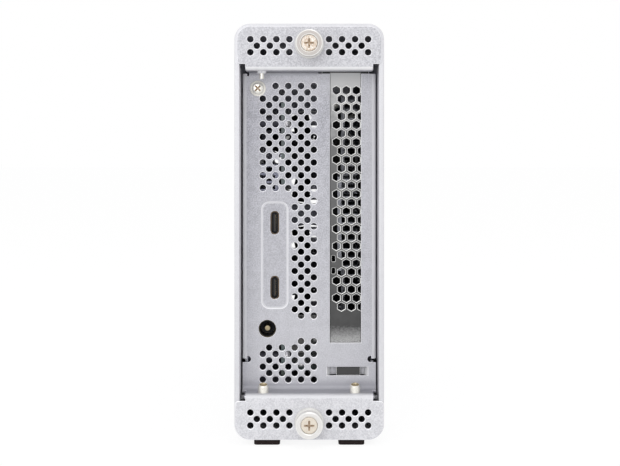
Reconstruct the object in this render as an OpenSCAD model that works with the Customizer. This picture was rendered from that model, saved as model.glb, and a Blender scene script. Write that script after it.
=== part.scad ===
// External drive enclosure for four solid-state modules: an extruded aluminium shell, a fan
// front, and a sheet-steel tray that slides out of the rear once two thumbscrews are undone.
// X runs across the width, Y from the connector end to the fan end, and Z up.
// The origin is the middle of the footprint, on the surface that the feet stand on.

/* [Shell] */
// Width of the extruded shell
shell_w = 57.5; // [56:0.5:62]
// Height of the extruded shell, without its feet
shell_h = 160; // [158:1:176]
// Length of the extruded shell
shell_len = 210; // [208:1:260]
// Outer radius of the shell's long corners
corner_r = 6; // [5:0.5:8]
// Wall of the shell
shell_wall = 2; // [1.6:0.1:2.4]
// How far the two inner ledges that carry the tray stand out
rail_w = 2.5; // [2:0.1:3]
// Thickness of those ledges
rail_t = 1.6; // [1.2:0.1:2.4]

/* [Feet] */
// Width of a square rubber foot
foot_w = 10; // [8:0.5:12]
// Height of a foot under the shell
foot_h = 2; // [1.5:0.5:4]
// Centre of a foot from the shell's side
foot_from_side = 12.5; // [9:0.5:16]
// Centre of a foot from the shell's end
foot_from_end = 5.5; // [5.5:0.5:30]
// Diameter of the stem that holds a foot in the shell
foot_stem_d = 4; // [3:0.5:5]

/* [Tray sheet] */
// Thickness of the sheet steel
sheet = 1; // [0.8:0.05:1.2]
// Outer radius of a bend in the sheet
bend_r = 1.8; // [1.5:0.1:2.2]
// Gap between the rear panel and the shell's side wall
side_gap = 0.65; // [0.4:0.05:0.9]
// Depth of the connector recess, from the end plates to the panel
recess = 12.2; // [12:0.2:15]
// Width of the folds that lead from the end plates into the recess
fold_w = 49.1; // [48:0.1:50]
// Underside of the recess's ceiling, below the shell's top
ceiling_drop = 17.9; // [17.5:0.1:20]
// Top of the recess's floor, above the shell's underside
floor_rise = 17.7; // [17.3:0.1:19]
// Height of the tray's low right-hand lip
lip_h = 12; // [6:1:16]
// Gap between the tray's base and the ledges under it
slide_gap = 0.3; // [0.2:0.05:0.5]

/* [End plates] */
// How far the top plate stays inside the shell's outline
top_inset = 1; // [0.6:0.1:1.4]
// How far the bottom plate stays inside the shell's outline
bottom_inset = 0.2; // [0.1:0.1:0.6]
// Lower edge of the top plate's wings, below the shell's top
top_wing_h = 15.5; // [14.6:0.1:16]
// Upper edge of the bottom plate's wings, above the shell's underside
bottom_wing_h = 15.1; // [14.6:0.1:15.6]
// Radius of the wings' inner corners
wing_r = 1.3; // [0.8:0.1:1.8]
// Middle row of the top plate's vent holes, below the shell's top
top_vent_in = 8.5; // [8:0.1:9]
// Middle row of the bottom plate's vent holes, above the shell's underside
bottom_vent_in = 8.2; // [8:0.1:9]

/* [Vent holes] */
// Diameter of a round vent hole
vent_d = 2.45; // [1.8:0.05:2.6]
// Spacing of the round holes along a row
vent_pitch = 5; // [4.8:0.1:5.4]
// First hole of a row, from the panel's left edge
vent_from_edge = 7.9; // [7.5:0.1:8.5]
// Top row of the panel's holes, below the ceiling
vent_from_ceiling = 5.6; // [5.2:0.1:6.4]

/* [Data ports] */
// Thickness of a port's metal shell, across the board
port_w = 3.2; // [3:0.05:3.4]
// Length of a port's opening, upright
port_h = 8.94; // [8.6:0.05:9.2]
// Gap between a port and the edge of its hole
port_gap = 0.15; // [0.1:0.05:0.25]
// Centre of the ports, from the panel's left edge
port_from_edge = 12.6; // [12:0.1:13.2]
// Centre of the lower port, above the recess's floor
port_above_floor = 39.8; // [39:0.1:41]
// Spacing of the two ports
port_pitch = 25.4; // [24:0.1:27]
// Depth of the pressed panel around the ports
press_depth = 0.4; // [0.2:0.05:0.5]
// Width of that pressed panel
press_w = 10.4; // [9:0.1:12]
// Its margin beyond the ports' centres
press_margin = 8.2; // [7:0.1:9]

/* [Power inlet] */
// Diameter of the inlet's hole in the panel
jack_d = 6.9; // [6.6:0.1:7.4]
// Centre of the inlet, from the panel's left edge
jack_from_edge = 9.7; // [9.4:0.1:10.4]
// Centre of the inlet, above the recess's floor
jack_above_floor = 23.7; // [23:0.1:25]
// Bore of the inlet's socket
jack_bore_d = 6.3; // [6:0.1:6.5]
// Diameter of the inlet's centre pin
jack_pin_d = 2.1; // [1.7:0.1:2.5]

/* [Card slot] */
// Width of the slot opening in the panel
slot_w = 12.25; // [12:0.05:12.6]
// Right edge of the slot opening, from the panel's right edge
slot_from_edge = 5.8; // [5.4:0.1:6.4]
// Length of the slot opening below the ceiling
slot_len = 106.2; // [105:0.1:107]
// Width of the card's slot bracket
bracket_w = 18.4; // [17.6:0.1:18.8]
// Thickness of the slot bracket
bracket_t = 0.86; // [0.8:0.02:0.96]
// Length of the bracket below its ear
bracket_len = 120; // [119:0.1:121]
// Width of the bracket's tongue
tongue_w = 9.4; // [8.8:0.1:10]
// Hexagonal vents, across their flats
hex_flats = 2.85; // [2.6:0.05:3.3]
// Spacing of the hexagonal vents
hex_pitch = 3.92; // [3.8:0.02:4]

/* [Thumbscrews] */
// Axis of the upper thumbscrew, below the shell's top
thumb_top_in = 7.9; // [7.2:0.1:8.2]
// Axis of the lower thumbscrew, above the shell's underside
thumb_low_in = 7.1; // [7:0.1:8]
// Diameter of a thumbscrew's knob
knob_d = 10.3; // [9.6:0.1:10.8]
// How far the knob's face stands off the end plate
knob_proud = 8.5; // [7.5:0.1:10]
// Diameter of the collar pressed into the plate
collar_d = 11.3; // [11:0.1:12]
// Height of that collar
collar_h = 1.8; // [1.4:0.1:2.2]
// Diameter of the screw's head inside the knob
core_d = 6.3; // [5.8:0.1:6.6]
// Diameter of the screw's shank
shank_d = 4; // [3.6:0.1:4.2]
// Running clearance of the screws and the fan shafts
run_gap = 0.05; // [0.02:0.01:0.08]

/* [Boards] */
// Thickness of the circuit boards
board_t = 1.6; // [1.4:0.1:1.8]
// Length of the carrier card
card_len = 167.65; // [160:0.05:168]
// Height of the carrier card, with its edge contacts
card_h = 106.65; // [106:0.05:107]
// Length of the main board
main_len = 136; // [110:1:150]
// Height of the main board
main_h = 108; // [106:1:110]
// Length of the riser board
riser_len = 105; // [100:1:115]
// Length of a solid-state module
module_len = 80; // [76:1:82]
// Width of a solid-state module
module_w = 22; // [20:0.5:22]
// Spacing of the modules
module_pitch = 24; // [23:0.1:24]

/* [Fans] */
// Side of a square fan frame
fan_w = 50; // [48:0.5:50]
// Depth of a fan frame
fan_t = 15; // [12:0.5:16]
// Number of blades on a rotor
blades = 7; // [5:1:9]

/* [Front] */
// Thickness of the front panel
front_t = 4; // [3:0.5:6]
// Width of the front panel's air slots
grille_w = 36; // [30:1:38]
// Height of one air slot
grille_h = 3; // [2.5:0.1:3.5]
// Spacing of the air slots
grille_pitch = 5.5; // [5:0.1:7]

/* [Hidden] */
$fn = 48;

// One overrun serves every cut, and one fit gap every part that sits in another
over = 1;
fit_gap = 0.1;

// Depths are measured inwards from the outer face of the end plates, whose place is y_rear
total_len = knob_proud + sheet + shell_len + front_t;
y_rear = knob_proud - total_len / 2;
shell_end = sheet + shell_len;

// Levels and widths of the shell
foot_r = 1.2;
shell_top = foot_h + shell_h;
inner_half = shell_w / 2 - shell_wall;
inner_low = foot_h + shell_wall;
inner_top = shell_top - shell_wall;

// Levels and widths of the tray and its rear panel
panel_half = inner_half - side_gap;
tray_half = panel_half - sheet;
wall_face = tray_half - sheet;
floor_z = foot_h + floor_rise;
base_top = floor_z - sheet;
base_z = base_top - sheet;
ceiling_z = shell_top - ceiling_drop;
panel_back = recess + sheet;
bend_in = bend_r - sheet;
panel_top_gap = 0.8;
panel_top = ceiling_z - panel_top_gap;
base_start = 2.2;
wall_start = panel_back + sheet;
wall_drop = 3.5;
wall_top = ceiling_z - wall_drop;

// Bend reliefs at the foot of the panel's side flanges
relief_d = 2.5;
relief_above_floor = 11.8;
relief_in = 2;
relief_slot = 1.4;
flange_w = 8;
relief_z = floor_z + relief_above_floor;
relief_slot_z = relief_z - relief_d / 2;
flange_z = relief_slot_z + relief_slot;

// The ceiling's back edge, its hooked panel flange and the rivets that join them
roof_back = 24;
hook_back = 22;
hook_in = 2.6;
hook_right = 4.7;
rivet_r = 1.5;
rivet_head_r = 2.6;
rivet_head_h = 0.8;
rivet_back = 18;
rivet_in = 4.85;
rivet_step = 16;

// Card clamp over the bracket's ear
clamp_front = 3;
clamp_back = 10;
clamp_in = 2.05;
clamp_foot = 9;
clamp_screw_in = 6.15;
clamp_screw_back = 6.2;
clamp_screw_r = 0.95;
clamp_screw_tip = 3.1;
clamp_head_r = 2;
clamp_head_h = 1.3;
clamp_nut_r = 1.75;
clamp_nut_h = 1;

// Screws of the rear end
panel_screw_in = 6;
panel_screw_drop = 6.6;
panel_screw_r = 1.5;
panel_head_r = 3.1;
panel_head_h = 2;
panel_screw_len = 7;
panel_tab_low = 2.6;
panel_tab_right = 3.9;
floor_screw_in = 6.85;
floor_screw_back = 4.3;
floor_screw_r = 1.25;
floor_head_r = 2.05;
floor_head_h = 3.2;
floor_screw_len = 4.2;
dome_rise = 0.8;
cross_w = 0.7;
cross_share = 0.62;
cross_deep_share = 0.5;

// Round holes of the panel, with the zones that stay blind
row_step = vent_pitch / 2;
vent_z = ceiling_z - vent_from_ceiling;
vent_above_floor = 3.8;
count_slack_share = 0.02;
vent_rows = floor((vent_z - floor_z - vent_above_floor) / row_step + count_slack_share) + 1;
vent_x = -panel_half + vent_from_edge;
blind_beside_screw = 2;
blind_right = 19.1;
blind_above_port = 12.1;
blind_below_port = 11.6;
label_low = 20.3;
label_high = 27.2;
jack_blind_low = 17.8;
jack_blind_right = 21.1;
slot_margin = 5;
plate_vent_first = 7.6;

// Ports and power inlet
port_x = -panel_half + port_from_edge;
port_low_z = floor_z + port_above_floor;
port_mid_z = port_low_z + port_pitch / 2;
port_r = port_w / 2 - fit_gap;
port_wall = 0.3;
port_depth = 7.4;
port_back_t = 1.6;
port_tongue_t = 0.7;
port_tongue_h = 6.7;
port_lift = 2.5;
port_base_h = 8;
press_r = 3;
jack_x = -panel_half + jack_from_edge;
jack_z = floor_z + jack_above_floor;
jack_half_h = 5.5;
jack_body_out = 4.5;
jack_depth = 14;
jack_bore_depth = 10;
jack_pin_back = 1.4;

// Slot opening, bracket and the keyed slot for its tongue
slot_x1 = panel_half - slot_from_edge;
slot_x0 = slot_x1 - slot_w;
slot_mid = (slot_x0 + slot_x1) / 2;
slot_low = ceiling_z - slot_len;
bracket_x0 = slot_mid - bracket_w / 2;
ear_z = ceiling_z + sheet;
ear_front = 2.6;
bracket_low = ear_z - bracket_len;
tongue_h = 9;
tongue_shift = 1.1;
tongue_x0 = slot_mid + tongue_shift - tongue_w / 2;
strap_slot_h = 3.4;
strap_left = 3.7;
strap_right = 3;
strap_lead = 1.4;
strap_z = bracket_low;
strap_x0 = tongue_x0 - strap_left;
strap_x1 = tongue_x0 + tongue_w + strap_right;
strap_back = panel_back + bracket_t + fit_gap;
hex_r = hex_flats / sqrt(3);
hex_row = hex_pitch * sqrt(3) / 2;
hex_in = 2.6;
hex_x = slot_x0 + hex_in;
hex_drop = 7.3;
hex_z = ceiling_z - hex_drop;
hex_rows = 26;
hex_columns = 3;
hex_skip_row = 20;
pin_hole_w = 1.45;
pin_hole_h = 2.4;
pin_hole_r = 0.5;
pin_hole_in = 1.2;
pin_hole_step = 4.8;
pin_hole_drop = 0.5;
bracket_tab_h = 8;
bracket_tab_len = 10;
bracket_tab_low = 5.7;
bracket_tab_high = 1.5;
small_screw_r = 1.25;
small_head_r = 2.4;
small_head_h = 1.6;

// Carrier card, riser and connector
card_gap = 2;
card_in = 0.93;
card_drop = 6.6;
card_x1 = slot_x0 + card_in;
card_x0 = card_x1 - board_t;
card_start = panel_back + bracket_t + card_gap;
card_low = ceiling_z - card_drop - card_h;
card_top = card_low + card_h;
finger_h = 8.4;
finger_start = 48;
finger_len = 52;
card_body_low = card_low + finger_h;
riser_drop = 3.3;
riser_top = card_low - riser_drop;
riser_z = riser_top - board_t;
riser_start = 20;
riser_edge_gap = 0.5;
riser_side_gap = 2.2;
connector_w = 7.5;
connector_h = 11.25;
connector_margin = 2;
connector_slot_gap = 0.1;
connector_seat = 0.5;
standoff_r = 2.5;
riser_post_in = 4;
riser_post_end = 6;

// Main board and what it carries
main_x0 = port_x + port_lift;
main_x1 = main_x0 + board_t;
main_gap = 1.5;
main_lift = 5.3;
main_start = panel_back + main_gap;
main_low = base_top + main_lift;
main_post_in = 7.5;
riser_x0 = main_x1 + riser_side_gap;
riser_x1 = wall_face - riser_edge_gap;
link_w = 7;
link_h = 6.4;
link_start = 60;
link_len = 40;
chip_w = 20;
chip_t = 2;
chip_back = 62;
chip_above_coils = 8.8;
sink_w = 36;
sink_base = 1.6;
sink_reach = 8;
fin_t = 1;
fin_pitch = 3.5;
cap_r = 3.2;
cap_h = 8;
cap_pitch = 9;
cap_count = 5;
cap_back = 40;
cap_above_low = 16;
coil_w = 8;
coil_h = 5;
coil_pitch = 12;
coil_count = 3;
coil_above_low = 30;

// Solid-state modules on the card
module_gap = 2.2;
module_t = 0.8;
module_end = 10.65;
module_start = card_len - module_end - module_len;
module_insert = 4;
module_x0 = card_x1 + module_gap;
module_x1 = module_x0 + module_t;
module_count = 4;
module_edge = 1.6;
module_low = card_body_low + module_edge;
socket_len = 8;
socket_h = 4.2;
socket_slot_gap = 0.05;
memory_t = 1.3;
memory_w = 16;
memory_len = 13;
memory_pitch = 17;
memory_count = 3;
memory_tail = 11;
memory_first = module_len - memory_tail - memory_len - (memory_count - 1) * memory_pitch;
pad_t = 0.5;
post_r = 2.2;
module_screw_r = 1.1;
module_head_r = 2;
module_head_h = 0.7;
notch_r = 1.3;
fin_sink_base = 1.5;
fin_sink_reach = 5.5;
fin_sink_t = 1;
fin_sink_pitch = 4;
sink_lead = 12;
sink_tail = 9;
leg_r = 2;
leg_in = 2.5;
leg_level_in = 3;
switch_w = 25;
switch_t = 2.4;
switch_gap = 11.5;
switch_up_share = 0.45;
switch_sink_w = 38;
switch_sink_reach = 8;

// Fans at the front end of the tray
fan_space = 25;
fan_plate = shell_end - fan_space;
fan_start = fan_plate + sheet;
fan_end = fan_start + fan_t;
fan_gap = (wall_top - base_top - 2 * fan_w) / 3;
fan_low_z = base_top + fan_gap + fan_w / 2;
fan_high_z = fan_low_z + fan_w + fan_gap;
fan_corner_r = 3;
fan_wall = 1.4;
fan_bore_r = fan_w / 2 - fan_wall;
fan_screw_share = 0.4;
fan_screw_at = fan_w * fan_screw_share;
fan_screw_r = 2.1;
fan_screw_len = 14;
fan_head_r = 3.5;
fan_head_h = 1.8;
fan_hole_r = fan_screw_r + run_gap;
hub_r = 9.5;
hub_wall = 1.4;
hub_start = 1.5;
hub_len = 9.5;
fan_plate_t = 1.5;
strut_w = 2.4;
strut_count = 4;
bearing_r = 3;
bearing_len = 9;
shaft_r = 1;
blade_t = 1.2;
blade_tilt = 38;
blade_tip_gap = 0.8;
blade_root = 0.6;

// Front frame, panel, screws and light
frame_t = 6;
frame_w = 4;
frame_start = shell_end - frame_t;
front_screw_in = 8;
front_boss_r = 3.6;
front_screw_r = 1.5;
front_head_r = 2.9;
front_head_h = 1.6;
front_screw_len = 8.5;
grille_from_end = 26;
grille_rows = floor((shell_h - 2 * grille_from_end) / grille_pitch);
light_r = 1.5;
light_drop = 11;
light_len = 7;

// Thumbscrews: the knob turns on its screw's thread, and the ring keeps it in the plate
thumb_top_z = shell_top - thumb_top_in;
thumb_low_z = foot_h + thumb_low_in;
knob_gap = 0.3;
knob_back = -collar_h - knob_gap;
knob_face = -knob_proud;
knob_edge = 0.6;
face_ring = 1.6;
face_rim = 0.9;
core_deep = 2.2;
core_sink = 0.5;
collar_neck_r = 3.6;
collar_gap = 0.3;
block_w = 12;
block_start = 7.5;
block_len = 8;
block_cover = 5.5;
thread_tip = 12;
tip_edge = 0.5;
ring_start = 6.2;
ring_t = 0.8;
ring_r = 3.25;
groove_r = 1.6;
groove_gap = 0.1;

// A 2D rectangle with round corners about the origin
module rounded(w, h, r)
{
    square([w - 2 * r, h], center = true);
    square([w, h - 2 * r], center = true);
    for (sx = [-1, 1], sy = [-1, 1])
        translate([sx * (w / 2 - r), sy * (h / 2 - r)])
            circle(r = r);
}

// A 2D slot with half-round ends about the origin
module capsule(w, h)
{
    square([w - h, h], center = true);
    for (side = [-1, 1])
        translate([side * (w - h) / 2, 0])
            circle(d = h);
}

// The shell's outline in the X-Z plane, drawn in by an inset
module shell_outline(inset)
{
    translate([0, foot_h + shell_h / 2])
        rounded(shell_w - 2 * inset, shell_h - 2 * inset, corner_r - inset);
}

// Stands an X-Z outline up as a plate that starts at a depth
module standing(depth, t)
{
    translate([0, y_rear + depth + t, 0])
        rotate([90, 0, 0])
            linear_extrude(t)
                children();
}

// Pulls a depth-Z outline across the width
module across(x0, x1)
{
    translate([x0, y_rear, 0])
        rotate([90, 0, 90])
            linear_extrude(x1 - x0)
                children();
}

// Raises an X-depth outline
module raised(z0, z1)
{
    translate([0, y_rear, z0])
        linear_extrude(z1 - z0)
            children();
}

// A block between pairs of places
module block(x, depth, z)
{
    translate([x[0], y_rear + depth[0], z[0]])
        cube([x[1] - x[0], depth[1] - depth[0], z[1] - z[0]]);
}

// Round bars along each axis
module bar_y(x, z, d0, d1, r)
{
    translate([x, y_rear + d0, z])
        rotate([-90, 0, 0])
            cylinder(h = d1 - d0, r = r);
}

module bar_x(depth, z, x0, x1, r)
{
    translate([x0, y_rear + depth, z])
        rotate([0, 90, 0])
            cylinder(h = x1 - x0, r = r);
}

module bar_z(x, depth, z0, z1, r)
{
    translate([x, y_rear + depth, z0])
        cylinder(h = z1 - z0, r = r);
}

// A quarter of a bent sheet about a centre, from one angle to the next
module bend(centre, outer, quarter)
{
    translate(centre)
        rotate(90 * quarter)
            intersection()
            {
                difference()
                {
                    circle(r = outer);
                    circle(r = outer - sheet);
                }
                square(outer);
            }
}

// A pan head with a cross recess, its seat at the origin and its top up the Z axis
module pan_head(r, h)
{
    cross = 2 * r * cross_share;
    deep = h * cross_deep_share;
    difference()
    {
        union()
        {
            cylinder(h = h - dome_rise, r = r);
            translate([0, 0, h - dome_rise])
                cylinder(h = dome_rise, r1 = r, r2 = r - dome_rise);
        }
        for (turn = [0, 90])
            rotate(turn)
                translate([-cross / 2, -cross_w / 2, h - deep])
                    cube([cross, cross_w, deep + over]);
    }
}

// A screw that points down the Z axis, its head's seat at the origin
module pan_screw(head_r, head_h, shank_r, len)
{
    pan_head(head_r, head_h);
    translate([0, 0, -len])
        cylinder(h = len + head_h / 3, r = shank_r);
}

module outer_shell()
{
    color([0.86, 0.86, 0.87])
        difference()
        {
            union()
            {
                standing(sheet, shell_len)
                    difference()
                    {
                        shell_outline(0);
                        shell_outline(shell_wall);
                    }
                for (side = [-1, 1])
                    rail(side);
            }
            for (side = [-1, 1], end = [0, 1])
                bar_z(side * foot_x(), foot_place(end), foot_h - over, inner_low + over,
                      foot_stem_d / 2 + fit_gap);
        }
}

// One ledge that the tray's base slides on
module rail(side)
{
    root = shell_wall / 2;
    top = base_z - slide_gap;
    x0 = inner_half - rail_w;
    x1 = inner_half + root;
    block(side > 0 ? [x0, x1] : [-x1, -x0], [recess, frame_start - over], [top - rail_t, top]);
}

function foot_x() = shell_w / 2 - foot_from_side;
function foot_place(end) = end == 0 ? sheet + foot_from_end : shell_end - foot_from_end;

module rubber_feet()
{
    color([0.16, 0.14, 0.14])
        for (side = [-1, 1], end = [0, 1])
        {
            translate([side * foot_x(), y_rear + foot_place(end), 0])
                linear_extrude(height = foot_h)
                    rounded(foot_w, foot_w, foot_r);
            bar_z(side * foot_x(), foot_place(end), 0, inner_low, foot_stem_d / 2);
        }
}

// Runs its children at the front panel's four screws
module at_front_screws(depth)
{
    for (side = [-1, 1], z = [foot_h + front_screw_in, shell_top - front_screw_in])
        translate([side * (shell_w / 2 - front_screw_in), y_rear + depth, z])
            rotate([-90, 0, 0])
                children();
}

module front_panel()
{
    color([0.84, 0.84, 0.85])
        difference()
        {
            standing(shell_end, front_t)
                difference()
                {
                    shell_outline(0);
                    for (row = [0 : grille_rows])
                        translate([0, grille_place(row)])
                            capsule(grille_w, grille_h);
                }
            at_front_screws(shell_end - over)
                cylinder(h = front_t + 2 * over, r = front_screw_r + fit_gap);
            at_front_screws(shell_end + front_t - front_head_h - fit_gap)
                cylinder(h = front_head_h + fit_gap + over, r = front_head_r + fit_gap);
            bar_y(0, shell_top - light_drop, shell_end - over, shell_end + front_t + over,
                  light_r + fit_gap);
        }
}

function grille_place(row) = foot_h + shell_h / 2 + (row - grille_rows / 2) * grille_pitch;

module front_frame()
{
    color([0.55, 0.56, 0.58])
        difference()
        {
            standing(frame_start, frame_t)
                difference()
                {
                    shell_outline(shell_wall + fit_gap);
                    difference()
                    {
                        translate([0, foot_h + shell_h / 2])
                            square([shell_w - 2 * shell_wall - 2 * frame_w,
                                    shell_h - 2 * shell_wall - 2 * frame_w], center = true);
                        for (side = [-1, 1], z = [foot_h + front_screw_in, shell_top - front_screw_in])
                            translate([side * (shell_w / 2 - front_screw_in), z])
                                circle(r = front_boss_r);
                    }
                }
            at_front_screws(frame_start - over)
                cylinder(h = frame_t + 2 * over, r = front_screw_r + run_gap);
        }
}

module front_screws()
{
    color([0.75, 0.75, 0.76])
        at_front_screws(shell_end + front_t - front_head_h)
            difference()
            {
                union()
                {
                    cylinder(h = front_head_h, r = front_head_r);
                    translate([0, 0, -front_screw_len + front_head_h])
                        cylinder(h = front_screw_len, r = front_screw_r);
                }
                translate([0, 0, front_head_h * cross_deep_share])
                    cylinder(h = front_head_h, r = front_screw_r, $fn = 6);
            }
}

module power_light()
{
    color([0.75, 0.86, 0.95])
        bar_y(0, shell_top - light_drop, shell_end + front_t - light_len, shell_end + front_t,
              light_r);
}

// A threaded block inside the shell, from its wall to past the screw's axis
module screw_block(axis_z, z)
{
    difference()
    {
        block([-block_w / 2, block_w / 2], [block_start, block_start + block_len], z);
        bar_y(0, axis_z, block_start - over, block_start + block_len + over,
              shank_d / 2 + run_gap);
    }
}

module upper_screw_block()
{
    color([0.72, 0.73, 0.75])
        screw_block(thumb_top_z, [thumb_top_z - block_cover, inner_top]);
}

module lower_screw_block()
{
    color([0.72, 0.73, 0.75])
        screw_block(thumb_low_z, [inner_low, thumb_low_z + block_cover]);
}

module chassis_tray()
{
    color([0.7, 0.71, 0.73])
        difference()
        {
            union()
            {
                block([-tray_half, tray_half], [base_start, fan_end], [base_z, base_top]);
                block([-tray_half, -wall_face], [wall_start, fan_start], [base_z, wall_top]);
                block([wall_face, tray_half], [wall_start, fan_start], [base_z, base_top + lip_h]);
                block([-tray_half, tray_half], [fan_plate, fan_start], [base_z, wall_top]);
                raised(panel_screw_z() - panel_tab_low, wall_top)
                    polygon([[-tray_half, wall_start], [-tray_half + bend_in, panel_back],
                             [panel_screw_x() + panel_tab_right, panel_back],
                             [panel_screw_x() + panel_tab_right, wall_start],
                             [-wall_face, wall_start + sheet], [-tray_half, wall_start + sheet]]);
            }
            for (z = [fan_low_z, fan_high_z])
            {
                bar_y(0, z, fan_plate - over, fan_start + over, fan_bore_r);
                at_fan_screws(z, fan_plate - over)
                    cylinder(h = sheet + 2 * over, r = fan_screw_r + fit_gap);
            }
            for (side = [-1, 1])
                bar_z(side * floor_screw_x(), floor_screw_back, base_z - over, base_top + over,
                      floor_screw_r + run_gap);
            bar_y(panel_screw_x(), panel_screw_z(), panel_back - over, wall_start + over,
                  panel_screw_r + run_gap);
        }
}

function panel_screw_x() = -panel_half + panel_screw_in;
function panel_screw_z() = ceiling_z - panel_screw_drop;
function floor_screw_x() = fold_w / 2 - floor_screw_in;
function clamp_screw_x() = -fold_w / 2 + clamp_screw_in;

// Holes of the rear panel, left out where ports, inlet, label place and screw need blind metal
function vent_free(row, column, x, z) =
    !(row < blind_beside_screw && column == 0)
    && !(x < -panel_half + blind_right && z < port_low_z + port_pitch + blind_above_port
         && z > port_low_z - blind_below_port)
    && !(z > floor_z + label_low && z < floor_z + label_high)
    && !(x < -panel_half + jack_blind_right && z > floor_z + jack_blind_low
         && z < floor_z + label_high)
    && x < slot_x0 - slot_margin;

module panel_vents()
{
    columns = ceil((slot_x0 - vent_x) / vent_pitch);
    for (row = [0 : vent_rows - 1], column = [0 : columns])
    {
        x = vent_x + column * vent_pitch + (row % 2) * row_step;
        z = vent_z - row * row_step;
        if (vent_free(row, column, x, z))
            translate([x, z])
                circle(d = vent_d, $fn = 32);
    }
}

// The rear panel's flat face, in the X-Z plane
module panel_face()
{
    flat_half = panel_half - bend_r;
    low = floor_z + bend_r;
    hook_z = ceiling_z - bend_r;
    difference()
    {
        union()
        {
            translate([-panel_half, low])
                square([2 * panel_half, relief_slot_z - low]);
            translate([-flat_half, relief_slot_z - fit_gap])
                square([2 * flat_half, hook_z - relief_slot_z + fit_gap]);
            translate([hook_x1(), hook_z - fit_gap])
                square([flat_half - hook_x1(), panel_top - hook_z + fit_gap]);
        }
        panel_vents();
        translate([slot_x0, slot_low])
            square([slot_w, ceiling_z - slot_low]);
        for (side = [-1, 1])
            translate([side * (panel_half - relief_in), relief_z])
                circle(d = relief_d);
        translate([strap_x0, strap_z])
            square([strap_x1 - strap_x0, strap_slot_h]);
        for (level = [0, 1])
            translate([port_x, port_low_z + level * port_pitch])
                rounded(port_w + 2 * port_gap, port_h + 2 * port_gap, port_r + port_gap);
        translate([jack_x, jack_z])
            circle(d = jack_d);
        translate([panel_screw_x(), panel_screw_z()])
            circle(r = panel_screw_r + fit_gap);
    }
}

function hook_x1() = slot_x0 - hook_right;

// A side bend and the flange behind it
module panel_flange(side)
{
    raised(flange_z, panel_top)
        mirror([side > 0 ? 1 : 0, 0])
        {
            bend([-panel_half + bend_r, recess + bend_r], bend_r, 2);
            translate([-panel_half, recess + bend_r])
                square([sheet, flange_w - bend_r]);
        }
}

// The lanced strap behind the tongue's slot
module panel_strap()
{
    raised(strap_z, strap_z + strap_slot_h)
        difference()
        {
            polygon([[strap_x0, recess], [strap_x0 + strap_lead, strap_back],
                     [strap_x0 + strap_lead, strap_back + sheet],
                     [strap_x1 - strap_lead, strap_back + sheet],
                     [strap_x1 - strap_lead, strap_back], [strap_x1, recess],
                     [strap_x1 + sheet, recess], [strap_x1 + sheet, panel_back],
                     [strap_x1 - strap_lead + sheet, strap_back + 2 * sheet],
                     [strap_x0 + strap_lead - sheet, strap_back + 2 * sheet],
                     [strap_x0 - sheet, panel_back], [strap_x0 - sheet, recess]]);
            translate([strap_x0 + strap_lead, recess - over])
                square([strap_x1 - strap_x0 - 2 * strap_lead, strap_back - recess + over]);
        }
}

// The bottom end plate and the fold above it, in the X-Z plane
module bottom_plate_face()
{
    half = shell_w / 2 - bottom_inset;
    wing_z = foot_h + bottom_wing_h;
    difference()
    {
        union()
        {
            intersection()
            {
                shell_outline(bottom_inset);
                translate([-half, foot_h])
                    square([2 * half, bottom_wing_h - wing_r]);
            }
            wing_ends(half, wing_z - wing_r, 1);
            translate([-fold_w / 2, wing_z - wing_r])
                square([fold_w, floor_z - bend_r - wing_z + wing_r]);
        }
        plate_vents(foot_h + bottom_vent_in);
        translate([0, thumb_low_z])
            circle(r = collar_neck_r + fit_gap);
    }
}

// The rounded inner edge of a plate's wings
module wing_ends(half, z, up)
{
    for (side = [-1, 1])
        translate([side * (half - wing_r), z])
            circle(r = wing_r);
    translate([-half + wing_r, up > 0 ? z : z - wing_r])
        square([2 * (half - wing_r), wing_r]);
}

module plate_vents(mid_z)
{
    columns = floor((shell_w / 2 - plate_vent_first) / vent_pitch) - 1;
    for (side = [-1, 1])
    {
        for (column = [0 : columns], row = [-1, 1])
            translate([side * (plate_vent_first + column * vent_pitch), mid_z + row * row_step])
                circle(d = vent_d, $fn = 32);
        for (column = [0 : columns - 1])
            translate([side * (plate_vent_first + row_step + column * vent_pitch), mid_z])
                circle(d = vent_d, $fn = 32);
    }
}

module rear_panel()
{
    color([0.78, 0.78, 0.81])
        difference()
        {
            union()
            {
                standing(0, sheet)
                    bottom_plate_face();
                across(-fold_w / 2, fold_w / 2)
                {
                    bend([bend_r, floor_z - bend_r], bend_r, 1);
                    translate([bend_r, base_top])
                        square([recess - 2 * bend_r, sheet]);
                }
                across(-panel_half, panel_half)
                    bend([recess - bend_r, floor_z + bend_r], bend_r + sheet, 3);
                standing(recess, sheet)
                    panel_face();
                for (side = [-1, 1])
                    panel_flange(side);
                across(-panel_half + hook_in, hook_x1())
                {
                    bend([recess + bend_r, ceiling_z - bend_r], bend_r, 1);
                    translate([recess + bend_r, ceiling_z - sheet])
                        square([hook_back - recess - bend_r, sheet]);
                }
                panel_strap();
            }
            standing(recess - over, press_depth + over)
                translate([port_x, port_mid_z])
                    rounded(press_w, port_pitch + 2 * press_margin, press_r);
            for (side = [-1, 1])
                bar_z(side * floor_screw_x(), floor_screw_back, base_top - over, floor_z + over,
                      floor_screw_r + fit_gap);
            at_rivets()
                bar_z(0, 0, ceiling_z - sheet - over, ceiling_z + over, rivet_r + run_gap);
        }
}

// Runs its children at the two rivets of the ceiling
module at_rivets()
{
    for (step = [0, 1])
        translate([-fold_w / 2 + rivet_in + step * rivet_step, rivet_back, 0])
            children();
}

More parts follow.
